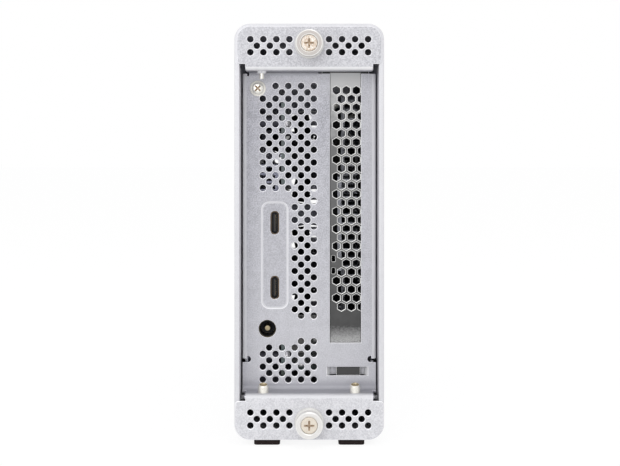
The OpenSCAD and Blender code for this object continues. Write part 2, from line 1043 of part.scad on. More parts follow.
// The top end plate and the fold under it, in the X-Z plane
module top_plate_face()
{
    half = shell_w / 2 - top_inset;
    wing_z = shell_top - top_wing_h;
    difference()
    {
        union()
        {
            intersection()
            {
                shell_outline(top_inset);
                translate([-half, wing_z + wing_r])
                    square([2 * half, top_wing_h]);
            }
            wing_ends(half, wing_z + wing_r, -1);
            translate([-fold_w / 2, ceiling_z + bend_r])
                square([fold_w, wing_z + wing_r - ceiling_z - bend_r]);
        }
        plate_vents(shell_top - top_vent_in);
        translate([0, thumb_top_z])
            circle(r = collar_neck_r + fit_gap);
    }
}

module top_bracket()
{
    color([0.76, 0.76, 0.79])
        difference()
        {
            union()
            {
                standing(0, sheet)
                    top_plate_face();
                across(-fold_w / 2, fold_w / 2)
                    bend([bend_r, ceiling_z + bend_r], bend_r, 2);
                block([-fold_w / 2, fold_w / 2], [bend_r, panel_back - fit_gap],
                      [ceiling_z, ceiling_z + sheet]);
                block([-fold_w / 2, hook_x1()], [bend_r, roof_back], [ceiling_z, ceiling_z + sheet]);
                bar_z(clamp_screw_x(), clamp_screw_back, ceiling_z - clamp_nut_h,
                      ceiling_z + sheet / 2, clamp_nut_r);
            }
            bar_z(clamp_screw_x(), clamp_screw_back, ceiling_z - clamp_nut_h - over,
                  ceiling_z + sheet + over, clamp_screw_r + run_gap);
            at_rivets()
                bar_z(0, 0, ceiling_z - over, ceiling_z + sheet + over, rivet_r + run_gap);
        }
}

module roof_rivets()
{
    color([0.8, 0.8, 0.82])
        at_rivets()
        {
            bar_z(0, 0, ceiling_z - sheet - rivet_head_h, ceiling_z + sheet + rivet_head_h, rivet_r);
            bar_z(0, 0, ceiling_z - sheet - rivet_head_h, ceiling_z - sheet, rivet_head_r);
            bar_z(0, 0, ceiling_z + sheet, ceiling_z + sheet + rivet_head_h, rivet_head_r);
        }
}

module panel_screw()
{
    color([0.86, 0.85, 0.8])
        translate([panel_screw_x(), y_rear + recess, panel_screw_z()])
            rotate([90, 45, 0])
                pan_screw(panel_head_r, panel_head_h, panel_screw_r, panel_screw_len);
}

module floor_screws()
{
    color([0.9, 0.9, 0.88])
        for (side = [-1, 1])
            translate([side * floor_screw_x(), y_rear + floor_screw_back, floor_z])
                pan_screw(floor_head_r, floor_head_h, floor_screw_r, floor_screw_len);
}

module card_clamp()
{
    x0 = -fold_w / 2 + clamp_in;
    x1 = fold_w / 2 - clamp_in;
    foot_x1 = x0 + clamp_foot;
    foot_z = ceiling_z + sheet;
    color([0.72, 0.73, 0.76])
        difference()
        {
            union()
            {
                block([x0, foot_x1 + sheet], [clamp_front, clamp_back], [foot_z, foot_z + sheet]);
                block([foot_x1, foot_x1 + sheet], [clamp_front, clamp_back],
                      [foot_z, foot_z + bracket_t + sheet]);
                block([foot_x1, x1], [clamp_front, clamp_back],
                      [foot_z + bracket_t, foot_z + bracket_t + sheet]);
            }
            bar_z(clamp_screw_x(), clamp_screw_back, foot_z - over,
                  foot_z + sheet + over, clamp_screw_r + fit_gap);
        }
}

module clamp_screw()
{
    seat = ceiling_z + 2 * sheet;
    color([0.82, 0.81, 0.74])
        translate([clamp_screw_x(), y_rear + clamp_screw_back, seat])
            pan_screw(clamp_head_r, clamp_head_h, clamp_screw_r, 2 * sheet + clamp_screw_tip);
}

// The hexagonal vents and locating holes of the slot bracket
module bracket_vents()
{
    for (row = [0 : hex_rows - 1], column = [0 : hex_columns - 1])
    {
        x = hex_x + column * hex_pitch + (row % 2) * hex_pitch / 2;
        if (!(row == hex_skip_row && column == 0))
            translate([x, hex_z - row * hex_row])
                rotate(90)
                    circle(r = hex_r, $fn = 6);
    }
    for (step = [-1, 1])
        translate([hex_x - pin_hole_in,
                   hex_z - hex_skip_row * hex_row - pin_hole_drop + step * pin_hole_step / 2])
            rounded(pin_hole_w, pin_hole_h, pin_hole_r);
}

module slot_bracket()
{
    tab_z = [card_body_low + bracket_tab_low, card_top - bracket_tab_high - bracket_tab_h];
    color([0.62, 0.62, 0.62])
        difference()
        {
            union()
            {
                standing(panel_back, bracket_t)
                    difference()
                    {
                        union()
                        {
                            translate([bracket_x0, bracket_low + tongue_h])
                                square([bracket_w, bracket_len - tongue_h + bracket_t]);
                            translate([tongue_x0, bracket_low])
                                square([tongue_w, tongue_h + over]);
                        }
                        bracket_vents();
                    }
                block([bracket_x0, bracket_x0 + bracket_w], [ear_front, panel_back + bracket_t],
                      [ear_z, ear_z + bracket_t]);
                for (z = tab_z)
                    block([card_x1, card_x1 + bracket_t],
                          [panel_back + bracket_t / 2, panel_back + bracket_t + bracket_tab_len],
                          [z, z + bracket_tab_h]);
            }
            for (z = tab_z)
                bar_x(bracket_screw_back(), z + bracket_tab_h / 2, card_x1 - over,
                      card_x1 + bracket_t + over, small_screw_r + fit_gap);
        }
}

function bracket_screw_back() = card_start + bracket_tab_len / 2;
function bracket_screw_z(level) = level == 0 ? card_body_low + bracket_tab_low + bracket_tab_h / 2
    : card_top - bracket_tab_high - bracket_tab_h / 2;

module bracket_screws()
{
    color([0.8, 0.79, 0.72])
        for (level = [0, 1])
            translate([card_x1 + bracket_t, y_rear + bracket_screw_back(), bracket_screw_z(level)])
                rotate([0, 90, 0])
                    pan_screw(small_head_r, small_head_h, small_screw_r,
                              bracket_t + board_t + small_head_h / 2);
}

module carrier_card()
{
    color([0.1, 0.32, 0.2])
        difference()
        {
            across(card_x0, card_x1)
            {
                translate([card_start, card_body_low])
                    square([card_len, card_h - finger_h]);
                translate([card_start + finger_start, card_low])
                    square([finger_len, finger_h + fit_gap]);
            }
            for (level = [0, 1])
                bar_x(bracket_screw_back(), bracket_screw_z(level), card_x0 - over,
                      card_x1 + over, small_screw_r + run_gap);
            at_legs()
                bar_x(0, 0, card_x0 - over, card_x1 + over, small_screw_r + fit_gap);
        }
}

module card_connector()
{
    x = (card_x0 + card_x1) / 2;
    start = card_start + finger_start - connector_margin;
    slot_half = board_t / 2 + connector_slot_gap;
    color([0.15, 0.15, 0.16])
        difference()
        {
            block([x - connector_w / 2, x + connector_w / 2],
                  [start, start + finger_len + 2 * connector_margin],
                  [riser_top, riser_top + connector_h]);
            block([x - slot_half, x + slot_half],
                  [start + connector_margin / 2, start + finger_len + 1.5 * connector_margin],
                  [card_low - connector_seat, riser_top + connector_h + over]);
        }
}

// Runs its children at the riser's four posts
module at_riser_posts(z)
{
    for (x = [riser_x0 + riser_post_in, riser_x1 - riser_post_in],
         depth = [riser_start + riser_post_end, riser_start + riser_len - riser_post_end])
        translate([x, y_rear + depth, z])
            children();
}

module riser_board()
{
    color([0.1, 0.3, 0.2])
        difference()
        {
            block([riser_x0, riser_x1], [riser_start, riser_start + riser_len], [riser_z, riser_top]);
            at_riser_posts(riser_z - over)
                cylinder(h = board_t + 2 * over, r = small_screw_r + fit_gap);
        }
}

module riser_standoffs()
{
    color([0.78, 0.72, 0.5])
        at_riser_posts(base_top)
            difference()
            {
                cylinder(h = riser_z - base_top, r = standoff_r);
                translate([0, 0, sheet])
                    cylinder(h = riser_z - base_top, r = small_screw_r + run_gap);
            }
}

module board_link()
{
    color([0.86, 0.84, 0.78])
        block([main_x1, main_x1 + link_w], [link_start, link_start + link_len],
              [riser_top, riser_top + link_h]);
}

function module_z(index) = module_low + module_w / 2 + index * module_pitch;

module ssd_board(index)
{
    z = module_z(index);
    color([0.09, 0.24, 0.16])
        difference()
        {
            block([module_x0, module_x1], [card_start + module_start, card_start + module_start + module_len],
                  [z - module_w / 2, z + module_w / 2]);
            bar_x(card_start + module_start + module_len, z, module_x0 - over, module_x1 + over,
                  notch_r);
        }
}

module ssd_board_1()
{
    ssd_board(0);
}

module ssd_board_2()
{
    ssd_board(1);
}

module ssd_board_3()
{
    ssd_board(2);
}

module ssd_board_4()
{
    ssd_board(3);
}

// Places of the memory packages along a module
function memory_place(index) = card_start + module_start + memory_first + index * memory_pitch;

module ssd_chips()
{
    color([0.12, 0.12, 0.13])
        for (index = [0 : module_count - 1], chip = [0 : memory_count - 1])
            block([module_x1, module_x1 + memory_t],
                  [memory_place(chip), memory_place(chip) + memory_len],
                  [module_z(index) - memory_w / 2, module_z(index) + memory_w / 2]);
}

module ssd_sockets()
{
    start = card_start + module_start + module_insert - socket_len;
    color([0.14, 0.14, 0.15])
        for (index = [0 : module_count - 1])
            difference()
            {
                block([card_x1, card_x1 + socket_h], [start, start + socket_len],
                      [module_z(index) - module_w / 2, module_z(index) + module_w / 2]);
                block([module_x0 - socket_slot_gap, module_x1 + socket_slot_gap],
                      [start + socket_len - module_insert - fit_gap, start + socket_len + over],
                      [module_z(index) - module_w / 2 - over, module_z(index) + module_w / 2 + over]);
            }
}

module ssd_standoffs()
{
    color([0.8, 0.74, 0.5])
        for (index = [0 : module_count - 1])
            difference()
            {
                bar_x(card_start + module_start + module_len, module_z(index), card_x1, module_x0,
                      post_r);
                bar_x(card_start + module_start + module_len, module_z(index), card_x1 + module_gap / 4,
                      module_x0 + over, module_screw_r + run_gap);
            }
}

module ssd_screws()
{
    color([0.8, 0.8, 0.8])
        for (index = [0 : module_count - 1])
        {
            depth = card_start + module_start + module_len;
            bar_x(depth, module_z(index), module_x0 - module_gap / 2, module_x1, module_screw_r);
            bar_x(depth, module_z(index), module_x1, module_x1 + module_head_h, module_head_r);
        }
}

module thermal_pads()
{
    color([0.55, 0.62, 0.7])
        for (index = [0 : module_count - 1])
            block([module_x1 + memory_t, module_x1 + memory_t + pad_t],
                  [memory_place(0), memory_place(memory_count - 1) + memory_len],
                  [module_z(index) - memory_w / 2, module_z(index) + memory_w / 2]);
}

// Runs its children on the axes of the module heat sink's four legs
module at_legs()
{
    for (depth = [sink_start() + leg_in, sink_end() - leg_in],
         z = [card_body_low + leg_level_in + leg_r, card_top - leg_level_in - leg_r])
        translate([0, depth, z])
            children();
}

function sink_start() = card_start + module_start - sink_lead;
function sink_end() = card_start + module_start + module_len + sink_tail;

module ssd_heatsink()
{
    x0 = module_x1 + memory_t + pad_t;
    low = card_body_low + leg_level_in / 2;
    high = card_top - leg_level_in / 2;
    fins = floor((high - low - fin_sink_t) / fin_sink_pitch);
    lead = (high - low - fin_sink_t - fins * fin_sink_pitch) / 2;
    color([0.66, 0.67, 0.7])
        difference()
        {
            union()
            {
                block([x0, x0 + fin_sink_base], [sink_start(), sink_end()], [low, high]);
                for (fin = [0 : fins])
                    block([x0, x0 + fin_sink_base + fin_sink_reach], [sink_start(), sink_end()],
                          [low + lead + fin * fin_sink_pitch,
                           low + lead + fin * fin_sink_pitch + fin_sink_t]);
                at_legs()
                    bar_x(0, 0, card_x1, x0 + fin_sink_base / 2, leg_r);
            }
            at_legs()
                bar_x(0, 0, card_x1 - over, x0, small_screw_r + run_gap);
        }
}

module heatsink_screws()
{
    color([0.8, 0.79, 0.74])
        at_legs()
            translate([card_x0, y_rear, 0])
                rotate([0, -90, 0])
                    pan_screw(small_head_r, small_head_h, small_screw_r, board_t + module_gap);
}

function switch_place() = sink_start() - switch_gap - (switch_sink_w + switch_w) / 2;
function switch_z() = card_body_low + (card_top - card_body_low) * switch_up_share;

module switch_chip()
{
    color([0.13, 0.13, 0.14])
        block([card_x1, card_x1 + switch_t], [switch_place(), switch_place() + switch_w],
              [switch_z() - switch_w / 2, switch_z() + switch_w / 2]);
}

// A finned heat sink about a place, its base towards the chip; reach may be negative
module finned_sink(x0, reach, mid, z, w)
{
    way = sign(reach);
    fins = floor((w - fin_t) / fin_pitch);
    lead = (w - fin_t - fins * fin_pitch) / 2;
    base = [x0, x0 + way * sink_base];
    full = [x0, x0 + reach];
    block([min(base), max(base)], [mid - w / 2, mid + w / 2], [z - w / 2, z + w / 2]);
    for (fin = [0 : fins])
        block([min(full), max(full)], [mid - w / 2, mid + w / 2],
              [z - w / 2 + lead + fin * fin_pitch, z - w / 2 + lead + fin * fin_pitch + fin_t]);
}

module switch_heatsink()
{
    color([0.66, 0.67, 0.7])
        finned_sink(card_x1 + switch_t, switch_sink_reach, switch_place() + switch_w / 2,
                    switch_z(), switch_sink_w);
}

// Runs its children at the main board's four posts
module at_main_posts()
{
    for (depth = [main_start + main_post_in, main_start + main_len - main_post_in],
         z = [main_low + main_post_in, main_low + main_h - main_post_in])
        translate([0, depth, z])
            children();
}

module main_board()
{
    color([0.1, 0.34, 0.22])
        difference()
        {
            block([main_x0, main_x1], [main_start, main_start + main_len],
                  [main_low, main_low + main_h]);
            at_main_posts()
                bar_x(0, 0, main_x0 - over, main_x1 + over, small_screw_r + fit_gap);
        }
}

// One upright data port: a metal shell round a tongue, on a base that sits on the board
module data_port(z)
{
    front = recess + press_depth + fit_gap;
    back = front + port_depth;
    color([0.3, 0.27, 0.24])
        difference()
        {
            union()
            {
                standing(front, port_depth)
                    translate([port_x, z])
                        rounded(port_w, port_h, port_r);
                block([port_x, main_x0], [main_start + fit_gap, back],
                      [z - port_base_h / 2, z + port_base_h / 2]);
            }
            difference()
            {
                standing(front - over, port_depth - port_back_t + over)
                    translate([port_x, z])
                        rounded(port_w - 2 * port_wall, port_h - 2 * port_wall, port_r - port_wall);
                block([port_x - port_tongue_t / 2, port_x + port_tongue_t / 2],
                      [front + port_back_t / 2, back],
                      [z - port_tongue_h / 2, z + port_tongue_h / 2]);
            }
        }
}

module usb_c_port_upper()
{
    data_port(port_low_z + port_pitch);
}

module usb_c_port_lower()
{
    data_port(port_low_z);
}

module dc_jack()
{
    color([0.1, 0.1, 0.11])
    {
        difference()
        {
            block([jack_x - jack_body_out, main_x0], [panel_back, panel_back + jack_depth],
                  [jack_z - jack_half_h, jack_z + jack_half_h]);
            bar_y(jack_x, jack_z, panel_back - over, panel_back + jack_bore_depth,
                  jack_bore_d / 2);
        }
        bar_y(jack_x, jack_z, panel_back + jack_pin_back, panel_back + jack_bore_depth + over,
              jack_pin_d / 2);
    }
}

function chip_place() = main_start + chip_back;
function chip_z() = main_low + coil_above_low + coil_w + chip_above_coils + sink_w / 2;

module controller_chip()
{
    color([0.13, 0.13, 0.14])
        block([main_x0 - chip_t, main_x0], [chip_place(), chip_place() + chip_w],
              [chip_z() - chip_w / 2, chip_z() + chip_w / 2]);
}

module controller_heatsink()
{
    color([0.68, 0.69, 0.72])
        finned_sink(main_x0 - chip_t, -sink_reach, chip_place() + chip_w / 2, chip_z(), sink_w);
}

module capacitors()
{
    color([0.62, 0.64, 0.68])
        for (index = [0 : cap_count - 1])
            bar_x(main_start + cap_back + index * cap_pitch, main_low + cap_above_low,
                  main_x0 - cap_h, main_x0, cap_r);
}

module inductors()
{
    color([0.28, 0.28, 0.3])
        for (index = [0 : coil_count - 1])
            block([main_x0 - coil_h, main_x0],
                  [main_start + cap_back + index * coil_pitch,
                   main_start + cap_back + index * coil_pitch + coil_w],
                  [main_low + coil_above_low, main_low + coil_above_low + coil_w]);
}

module board_standoffs()
{
    color([0.78, 0.72, 0.5])
        at_main_posts()
            difference()
            {
                bar_x(0, 0, -wall_face, main_x0, standoff_r);
                bar_x(0, 0, main_x0 - small_screw_len() - fit_gap, main_x0 + over,
                      small_screw_r + run_gap);
            }
}

function small_screw_len() = 2 * small_head_r;

module board_screws()
{
    color([0.8, 0.79, 0.74])
    {
        at_main_posts()
            translate([main_x1, y_rear, 0])
                rotate([0, 90, 0])
                    pan_screw(small_head_r, small_head_h, small_screw_r, board_t + small_screw_len());
        at_riser_posts(riser_top)
            pan_screw(small_head_r, small_head_h, small_screw_r, board_t + small_screw_len());
    }
}

// Runs its children at a fan's four screws, pointing along Y
module at_fan_screws(z, depth)
{
    for (sx = [-1, 1], sz = [-1, 1])
        translate([sx * fan_screw_at, y_rear + depth, z + sz * fan_screw_at])
            rotate([-90, 0, 0])
                children();
}

module fan_frame(z)
{
    plate_start = fan_end - fan_plate_t;
    color([0.13, 0.13, 0.14])
        difference()
        {
            union()
            {
                standing(fan_start, fan_t)
                    translate([0, z])
                        difference()
                        {
                            rounded(fan_w, fan_w, fan_corner_r);
                            circle(r = fan_bore_r);
                        }
                standing(plate_start, fan_plate_t)
                    translate([0, z])
                    {
                        circle(r = hub_r);
                        for (strut = [0 : strut_count - 1])
                            rotate(strut * 360 / strut_count + 45)
                                translate([0, -strut_w / 2])
                                    square([fan_bore_r + fan_wall / 2, strut_w]);
                    }
                bar_y(0, z, fan_end - bearing_len, fan_end, bearing_r);
            }
            bar_y(0, z, fan_start - over, fan_end + over, shaft_r + run_gap);
            at_fan_screws(z, fan_start - over)
                cylinder(h = fan_t + 2 * over, r = fan_hole_r);
        }
}

module upper_fan_frame()
{
    fan_frame(fan_high_z);
}

module lower_fan_frame()
{
    fan_frame(fan_low_z);
}

module fan_rotor(z)
{
    start = fan_start + hub_start;
    tip_r = fan_bore_r - blade_tip_gap;
    color([0.1, 0.1, 0.11])
    {
        difference()
        {
            bar_y(0, z, start, start + hub_len, hub_r);
            bar_y(0, z, start + hub_wall, start + hub_len + over, hub_r - hub_wall);
        }
        bar_y(0, z, start, fan_end - fan_plate_t, shaft_r);
        intersection()
        {
            for (blade = [0 : blades - 1])
                translate([0, y_rear + start + hub_len / 2, z])
                    rotate([0, blade * 360 / blades, 0])
                        rotate([blade_tilt, 0, 0])
                            translate([hub_r - blade_root, -hub_len, -blade_t / 2])
                                cube([tip_r, 2 * hub_len, blade_t]);
            difference()
            {
                bar_y(0, z, start, start + hub_len, tip_r);
                bar_y(0, z, start - over, start + hub_len + over, hub_r - blade_root);
            }
        }
    }
}

module upper_fan_rotor()
{
    fan_rotor(fan_high_z);
}

module lower_fan_rotor()
{
    fan_rotor(fan_low_z);
}

module fan_screws()
{
    color([0.35, 0.35, 0.36])
        for (z = [fan_low_z, fan_high_z])
            at_fan_screws(z, fan_plate)
                rotate([180, 0, 0])
                    pan_screw(fan_head_r, fan_head_h, fan_screw_r, fan_screw_len);
}

// Turns a profile of radius and depth about a thumbscrew's axis
module turned(z)
{
    translate([0, y_rear, z])
        rotate([-90, 0, 0])
            rotate_extrude()
                children();
}

// The knob's sleeve: chamfered edges, a raised face ring and the pocket for the screw's head
module thumb_knob(z)
{
    r = knob_d / 2;
    pocket_r = core_d / 2 + fit_gap;
    color([0.84, 0.82, 0.79])
        turned(z)
            polygon([[shank_d / 2, knob_face + core_deep], [pocket_r, knob_face + core_deep],
                     [pocket_r, knob_face + core_sink / 2], [pocket_r + face_rim / 2, knob_face],
                     [r - face_ring, knob_face], [r - knob_edge, knob_face + knob_edge / 2],
                     [r, knob_face + knob_edge], [r, knob_back - knob_edge],
                     [r - knob_edge, knob_back], [shank_d / 2, knob_back]]);
}

module upper_thumb_knob()
{
    thumb_knob(thumb_top_z);
}

module lower_thumb_knob()
{
    thumb_knob(thumb_low_z);
}

// The screw in the knob: its cross-recessed head, shank, ring groove and thread
module thumb_screw(z)
{
    head = knob_face + core_sink;
    cross = core_d * cross_share;
    r = shank_d / 2;
    color([0.85, 0.79, 0.7])
        difference()
        {
            turned(z)
                polygon([[0, head], [core_d / 2, head], [core_d / 2, knob_face + core_deep],
                         [r, knob_face + core_deep], [r, ring_start - groove_gap],
                         [groove_r, ring_start - groove_gap],
                         [groove_r, ring_start + ring_t + groove_gap],
                         [r, ring_start + ring_t + groove_gap], [r, thread_tip - tip_edge],
                         [r - tip_edge, thread_tip], [0, thread_tip]]);
            translate([0, y_rear + head - over, z])
                for (turn = [0, 90])
                    rotate([0, turn, 0])
                        translate([-cross / 2, 0, -cross_w / 2])
                            cube([cross, over + core_deep * cross_deep_share, cross_w]);
        }
}

module upper_thumb_screw()
{
    thumb_screw(thumb_top_z);
}

module lower_thumb_screw()
{
    thumb_screw(thumb_low_z);
}

// The collar pressed into the end plate
module screw_collar(z)
{
    bore_r = shank_d / 2 + collar_gap;
    color([0.85, 0.85, 0.85])
        turned(z)
            polygon([[bore_r, -collar_h], [collar_d / 2 - knob_edge, -collar_h],
                     [collar_d / 2, -collar_h + knob_edge], [collar_d / 2, 0],
                     [collar_neck_r, 0], [collar_neck_r, sheet], [bore_r, sheet]]);
}

module upper_screw_collar()
{
    screw_collar(thumb_top_z);
}

module lower_screw_collar()
{
    screw_collar(thumb_low_z);
}

// The ring that keeps a thumbscrew in its plate and rides in the screw's groove
module retaining_ring(z)
{
    color([0.6, 0.6, 0.62])
        difference()
        {
            bar_y(0, z, ring_start, ring_start + ring_t, ring_r);
            bar_y(0, z, ring_start - over, ring_start + ring_t + over, groove_r + run_gap);
        }
}

module upper_retaining_ring()
{
    retaining_ring(thumb_top_z);
}

module lower_retaining_ring()
{
    retaining_ring(thumb_low_z);
}

outer_shell();
rubber_feet();
front_panel();
front_frame();
front_screws();
power_light();
upper_screw_block();
lower_screw_block();
chassis_tray();
rear_panel();
top_bracket();
roof_rivets();
panel_screw();
floor_screws();
card_clamp();
clamp_screw();
slot_bracket();
bracket_screws();
carrier_card();
card_connector();
riser_board();
riser_standoffs();
board_link();
ssd_board_1();
ssd_board_2();
ssd_board_3();
ssd_board_4();
ssd_chips();
ssd_sockets();
ssd_standoffs();
ssd_screws();
thermal_pads();
ssd_heatsink();
heatsink_screws();
switch_chip();
switch_heatsink();
main_board();
usb_c_port_upper();
usb_c_port_lower();
dc_jack();
controller_chip();
controller_heatsink();
capacitors();
inductors();
board_standoffs();
board_screws();
upper_fan_frame();
lower_fan_frame();
upper_fan_rotor();
lower_fan_rotor();
fan_screws();
upper_thumb_knob();
lower_thumb_knob();
upper_thumb_screw();
lower_thumb_screw();
upper_screw_collar();
lower_screw_collar();
upper_retaining_ring();
lower_retaining_ring();
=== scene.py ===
"""The looks of an external drive enclosure: finishes, softened sheet metal, turned screws and a studio.

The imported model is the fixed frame. Everything made here is in metres, in that frame, with +Z up and
the connector end towards -Y, and rides on one of the frame's bodies.
"""

import logging
import math
from collections.abc import Callable
from dataclasses import dataclass
from enum import Enum

import bpy
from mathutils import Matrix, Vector


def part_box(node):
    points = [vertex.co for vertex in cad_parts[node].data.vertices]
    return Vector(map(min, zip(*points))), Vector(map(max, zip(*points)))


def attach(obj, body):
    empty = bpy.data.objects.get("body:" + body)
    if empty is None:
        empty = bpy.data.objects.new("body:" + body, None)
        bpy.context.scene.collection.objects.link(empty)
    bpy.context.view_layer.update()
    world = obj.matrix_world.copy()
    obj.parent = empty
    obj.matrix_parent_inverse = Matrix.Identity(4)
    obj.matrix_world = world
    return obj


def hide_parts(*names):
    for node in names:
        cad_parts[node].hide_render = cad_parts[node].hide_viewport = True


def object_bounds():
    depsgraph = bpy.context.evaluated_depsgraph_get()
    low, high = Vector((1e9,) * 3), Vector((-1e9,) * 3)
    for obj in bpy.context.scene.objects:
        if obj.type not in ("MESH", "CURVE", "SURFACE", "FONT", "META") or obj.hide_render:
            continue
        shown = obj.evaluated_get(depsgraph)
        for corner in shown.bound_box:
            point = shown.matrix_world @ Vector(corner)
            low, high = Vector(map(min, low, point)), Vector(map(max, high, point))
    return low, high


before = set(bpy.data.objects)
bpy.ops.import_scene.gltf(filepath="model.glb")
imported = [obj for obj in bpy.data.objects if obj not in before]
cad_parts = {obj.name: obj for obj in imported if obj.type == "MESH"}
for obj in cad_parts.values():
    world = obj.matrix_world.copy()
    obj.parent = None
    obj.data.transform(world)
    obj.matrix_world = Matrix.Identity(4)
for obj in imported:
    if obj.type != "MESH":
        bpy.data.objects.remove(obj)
CAD_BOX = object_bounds()
REAR_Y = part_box("rear_panel")[0].y

MM = 0.001
LOG = logging.getLogger("enclosure")
Socket = bpy.types.NodeSocket
Tree = bpy.types.NodeTree
Object = bpy.types.Object
Colour = tuple[float, float, float]
Span = tuple[float, float]
Size = tuple[float, float, float]
FaceTest = Callable[[bpy.types.MeshPolygon], bool]
DUST_COLOUR = (200, 196, 190)


def linear(colour: Colour) -> tuple[float, ...]:
    """Turn a colour as a screen shows it, from 0 to 255, into the linear one that a shader takes."""
    shares = (value / 255 for value in colour)
    return (*(share / 12.92 if share <= 0.04045 else ((share + 0.055) / 1.055) ** 2.4
              for share in shares), 1.0)


class Body(Enum):
    """The bodies that a new piece can ride on."""

    HOUSING = "housing"
    TRAY = "tray"
    UPPER_SCREW = "upper_thumbscrew"
    LOWER_SCREW = "lower_thumbscrew"


# Shader trees, and the groups that the finishes share


class Graph:
    """A shader tree, with short calls for adding to it."""

    def __init__(self, tree: Tree) -> None:
        """Take a tree in hand."""
        self.tree = tree

    def place(self, kind: str, inputs: dict[object, object] | None = None,
              **settings: object) -> bpy.types.Node:
        """Add a node.

        Args:
            kind: Its type, without the ShaderNode prefix.
            inputs: A socket to link or a plain value for each of its inputs.
            **settings: Its own properties.

        Returns:
            The node.
        """
        node = self.tree.nodes.new("ShaderNode" + kind)
        for key, value in settings.items():
            setattr(node, key, value)
        for key, value in (inputs or {}).items():
            if isinstance(value, Socket):
                self.tree.links.new(value, node.inputs[key])
            else:
                node.inputs[key].default_value = value
        return node

    def maths(self, operation: str, first: Socket | float, second: Socket | float = 0.0,
              clamp: bool = False) -> Socket:
        """Work out one number from one or two others."""
        return self.place("Math", {0: first, 1: second}, operation=operation, use_clamp=clamp).outputs[0]

    def vectors(self, operation: str, first: Socket, second: Socket | Size = (0.0, 0.0, 0.0),
                output: str = "Vector") -> Socket:
        """Work out one vector from one or two others."""
        return self.place("VectorMath", {0: first, 1: second}, operation=operation).outputs[output]

    def ranged(self, value: Socket, low: float, high: float, start: Socket | float = 0.0,
               end: Socket | float = 1.0) -> Socket:
        """Map a value, clamped to start and end, to the range from low to high."""
        return self.place("MapRange", {"Value": value, "From Min": start, "From Max": end,
                                       "To Min": low, "To Max": high}).outputs[0]

    def noise(self, vector: Socket, scale: Socket | float, detail: float, rough: float = 0.5,
              output: int | str = 0) -> Socket:
        """Add a noise texture and give one of its outputs."""
        return self.place("TexNoise", {"Vector": vector, "Scale": scale, "Detail": detail,
                                       "Roughness": rough}).outputs[output]

    def along(self, vector: Socket, axis: str) -> Socket:
        """Give a vector's part along one axis."""
        return self.place("SeparateXYZ", {0: vector}).outputs[axis]

    def seen(self, *rays: str) -> Socket:
        """Mask what is seen by any of these kinds of ray."""
        path = self.place("LightPath").outputs
        mask = path[rays[0]]
        for ray in rays[1:]:
            mask = self.maths("MAXIMUM", mask, path[ray])
        return mask


class Group(Graph):
    """A shader group in the making."""

    def __init__(self, name: str, *outputs: str, **inputs: float | None) -> None:
        """Start the group.

        Args:
            name: The group's name.
            *outputs: Its outputs, each a number.
            **inputs: Its inputs with their defaults; one without a default is a vector.
        """
        super().__init__(bpy.data.node_groups.new(name, "ShaderNodeTree"))
        sockets = self.tree.interface
        for label, default in inputs.items():
            kind = "NodeSocketVector" if default is None else "NodeSocketFloat"
            made = sockets.new_socket(label, in_out="INPUT", socket_type=kind)
            if default is not None:
                made.default_value = default
        for label in outputs:
            sockets.new_socket(label, in_out="OUTPUT", socket_type="NodeSocketFloat")
        self.given = list(self.tree.nodes.new("NodeGroupInput").outputs)[:len(inputs)]

    def give(self, *sockets: Socket) -> Tree:
        """Link the group's outputs, and return its tree."""
        out = self.tree.nodes.new("NodeGroupOutput").inputs
        for index, socket in enumerate(sockets):
            self.tree.links.new(socket, out[index])
        return self.tree


def grain_group() -> Tree:
    """Build the fine mottling of a rolled, plated or moulded surface, a tone about one half."""
    group = Group("surface_grain", "Tone", Vector=None, Scale=1500.0, Contrast=1.0)
    vector, scale, contrast = group.given
    fine = group.noise(vector, scale, 3.0, 0.62)
    coarse = group.noise(vector, group.maths("MULTIPLY", scale, 0.16), 2.0)
    both = group.maths("ADD", fine, group.ranged(coarse, -0.16, 0.16))
    scaled = group.maths("MULTIPLY", group.maths("SUBTRACT", both, 0.5), contrast)
    return group.give(group.maths("ADD", scaled, 0.5, clamp=True))


def drawn_group() -> Tree:
    """Build the lines of drawn, extruded or brushed metal; Stretch squeezes them along each axis."""
    group = Group("drawn_lines", "Tone", Vector=None, Stretch=None, Scale=1.0)
    vector, stretch, scale = group.given
    return group.give(group.noise(group.vectors("MULTIPLY", vector, stretch), scale, 4.0, 0.7))


def spangle_group() -> Tree:
    """Build the patches of zinc crystals on a galvanised sheet, one tone for each crystal."""
    group = Group("zinc_spangle", "Tone", Vector=None, Scale=300.0)
    vector, scale = group.given
    warp = group.vectors("MULTIPLY", group.noise(vector, scale, 1.0, output="Color"),
                         (4 * MM, 4 * MM, 4 * MM))
    moved = group.vectors("ADD", warp, vector)
    cells = group.place("TexVoronoi", {"Vector": moved, "Scale": scale}).outputs["Color"]
    return group.give(group.place("SeparateColor", {0: cells}).outputs[0])


def wear_group() -> Tree:
    """Build a mask of broken scuffs and fine scratches; a larger Amount covers more."""
    group = Group("edge_wear", "Mask", Vector=None, Scale=400.0, Amount=0.3)
    vector, scale, amount = group.given
    start = group.maths("SUBTRACT", 0.85, amount)
    return group.give(group.ranged(group.noise(vector, scale, 5.0, 0.7), 0.0, 1.0, start,
                                   group.maths("ADD", start, 0.12)))


def dust_group() -> Tree:
    """Build a mask of the thin dust that settles on what faces up."""
    group = Group("settled_dust", "Mask", Vector=None, Scale=120.0, Amount=0.2)
    vector, scale, amount = group.given
    up = group.along(group.place("NewGeometry").outputs["Normal"], "Z")
    patchy = group.maths("MULTIPLY", group.ranged(up, 0.0, 1.0, 0.3, 1.0),
                         group.noise(vector, scale, 3.0))
    return group.give(group.maths("MULTIPLY", patchy, amount))


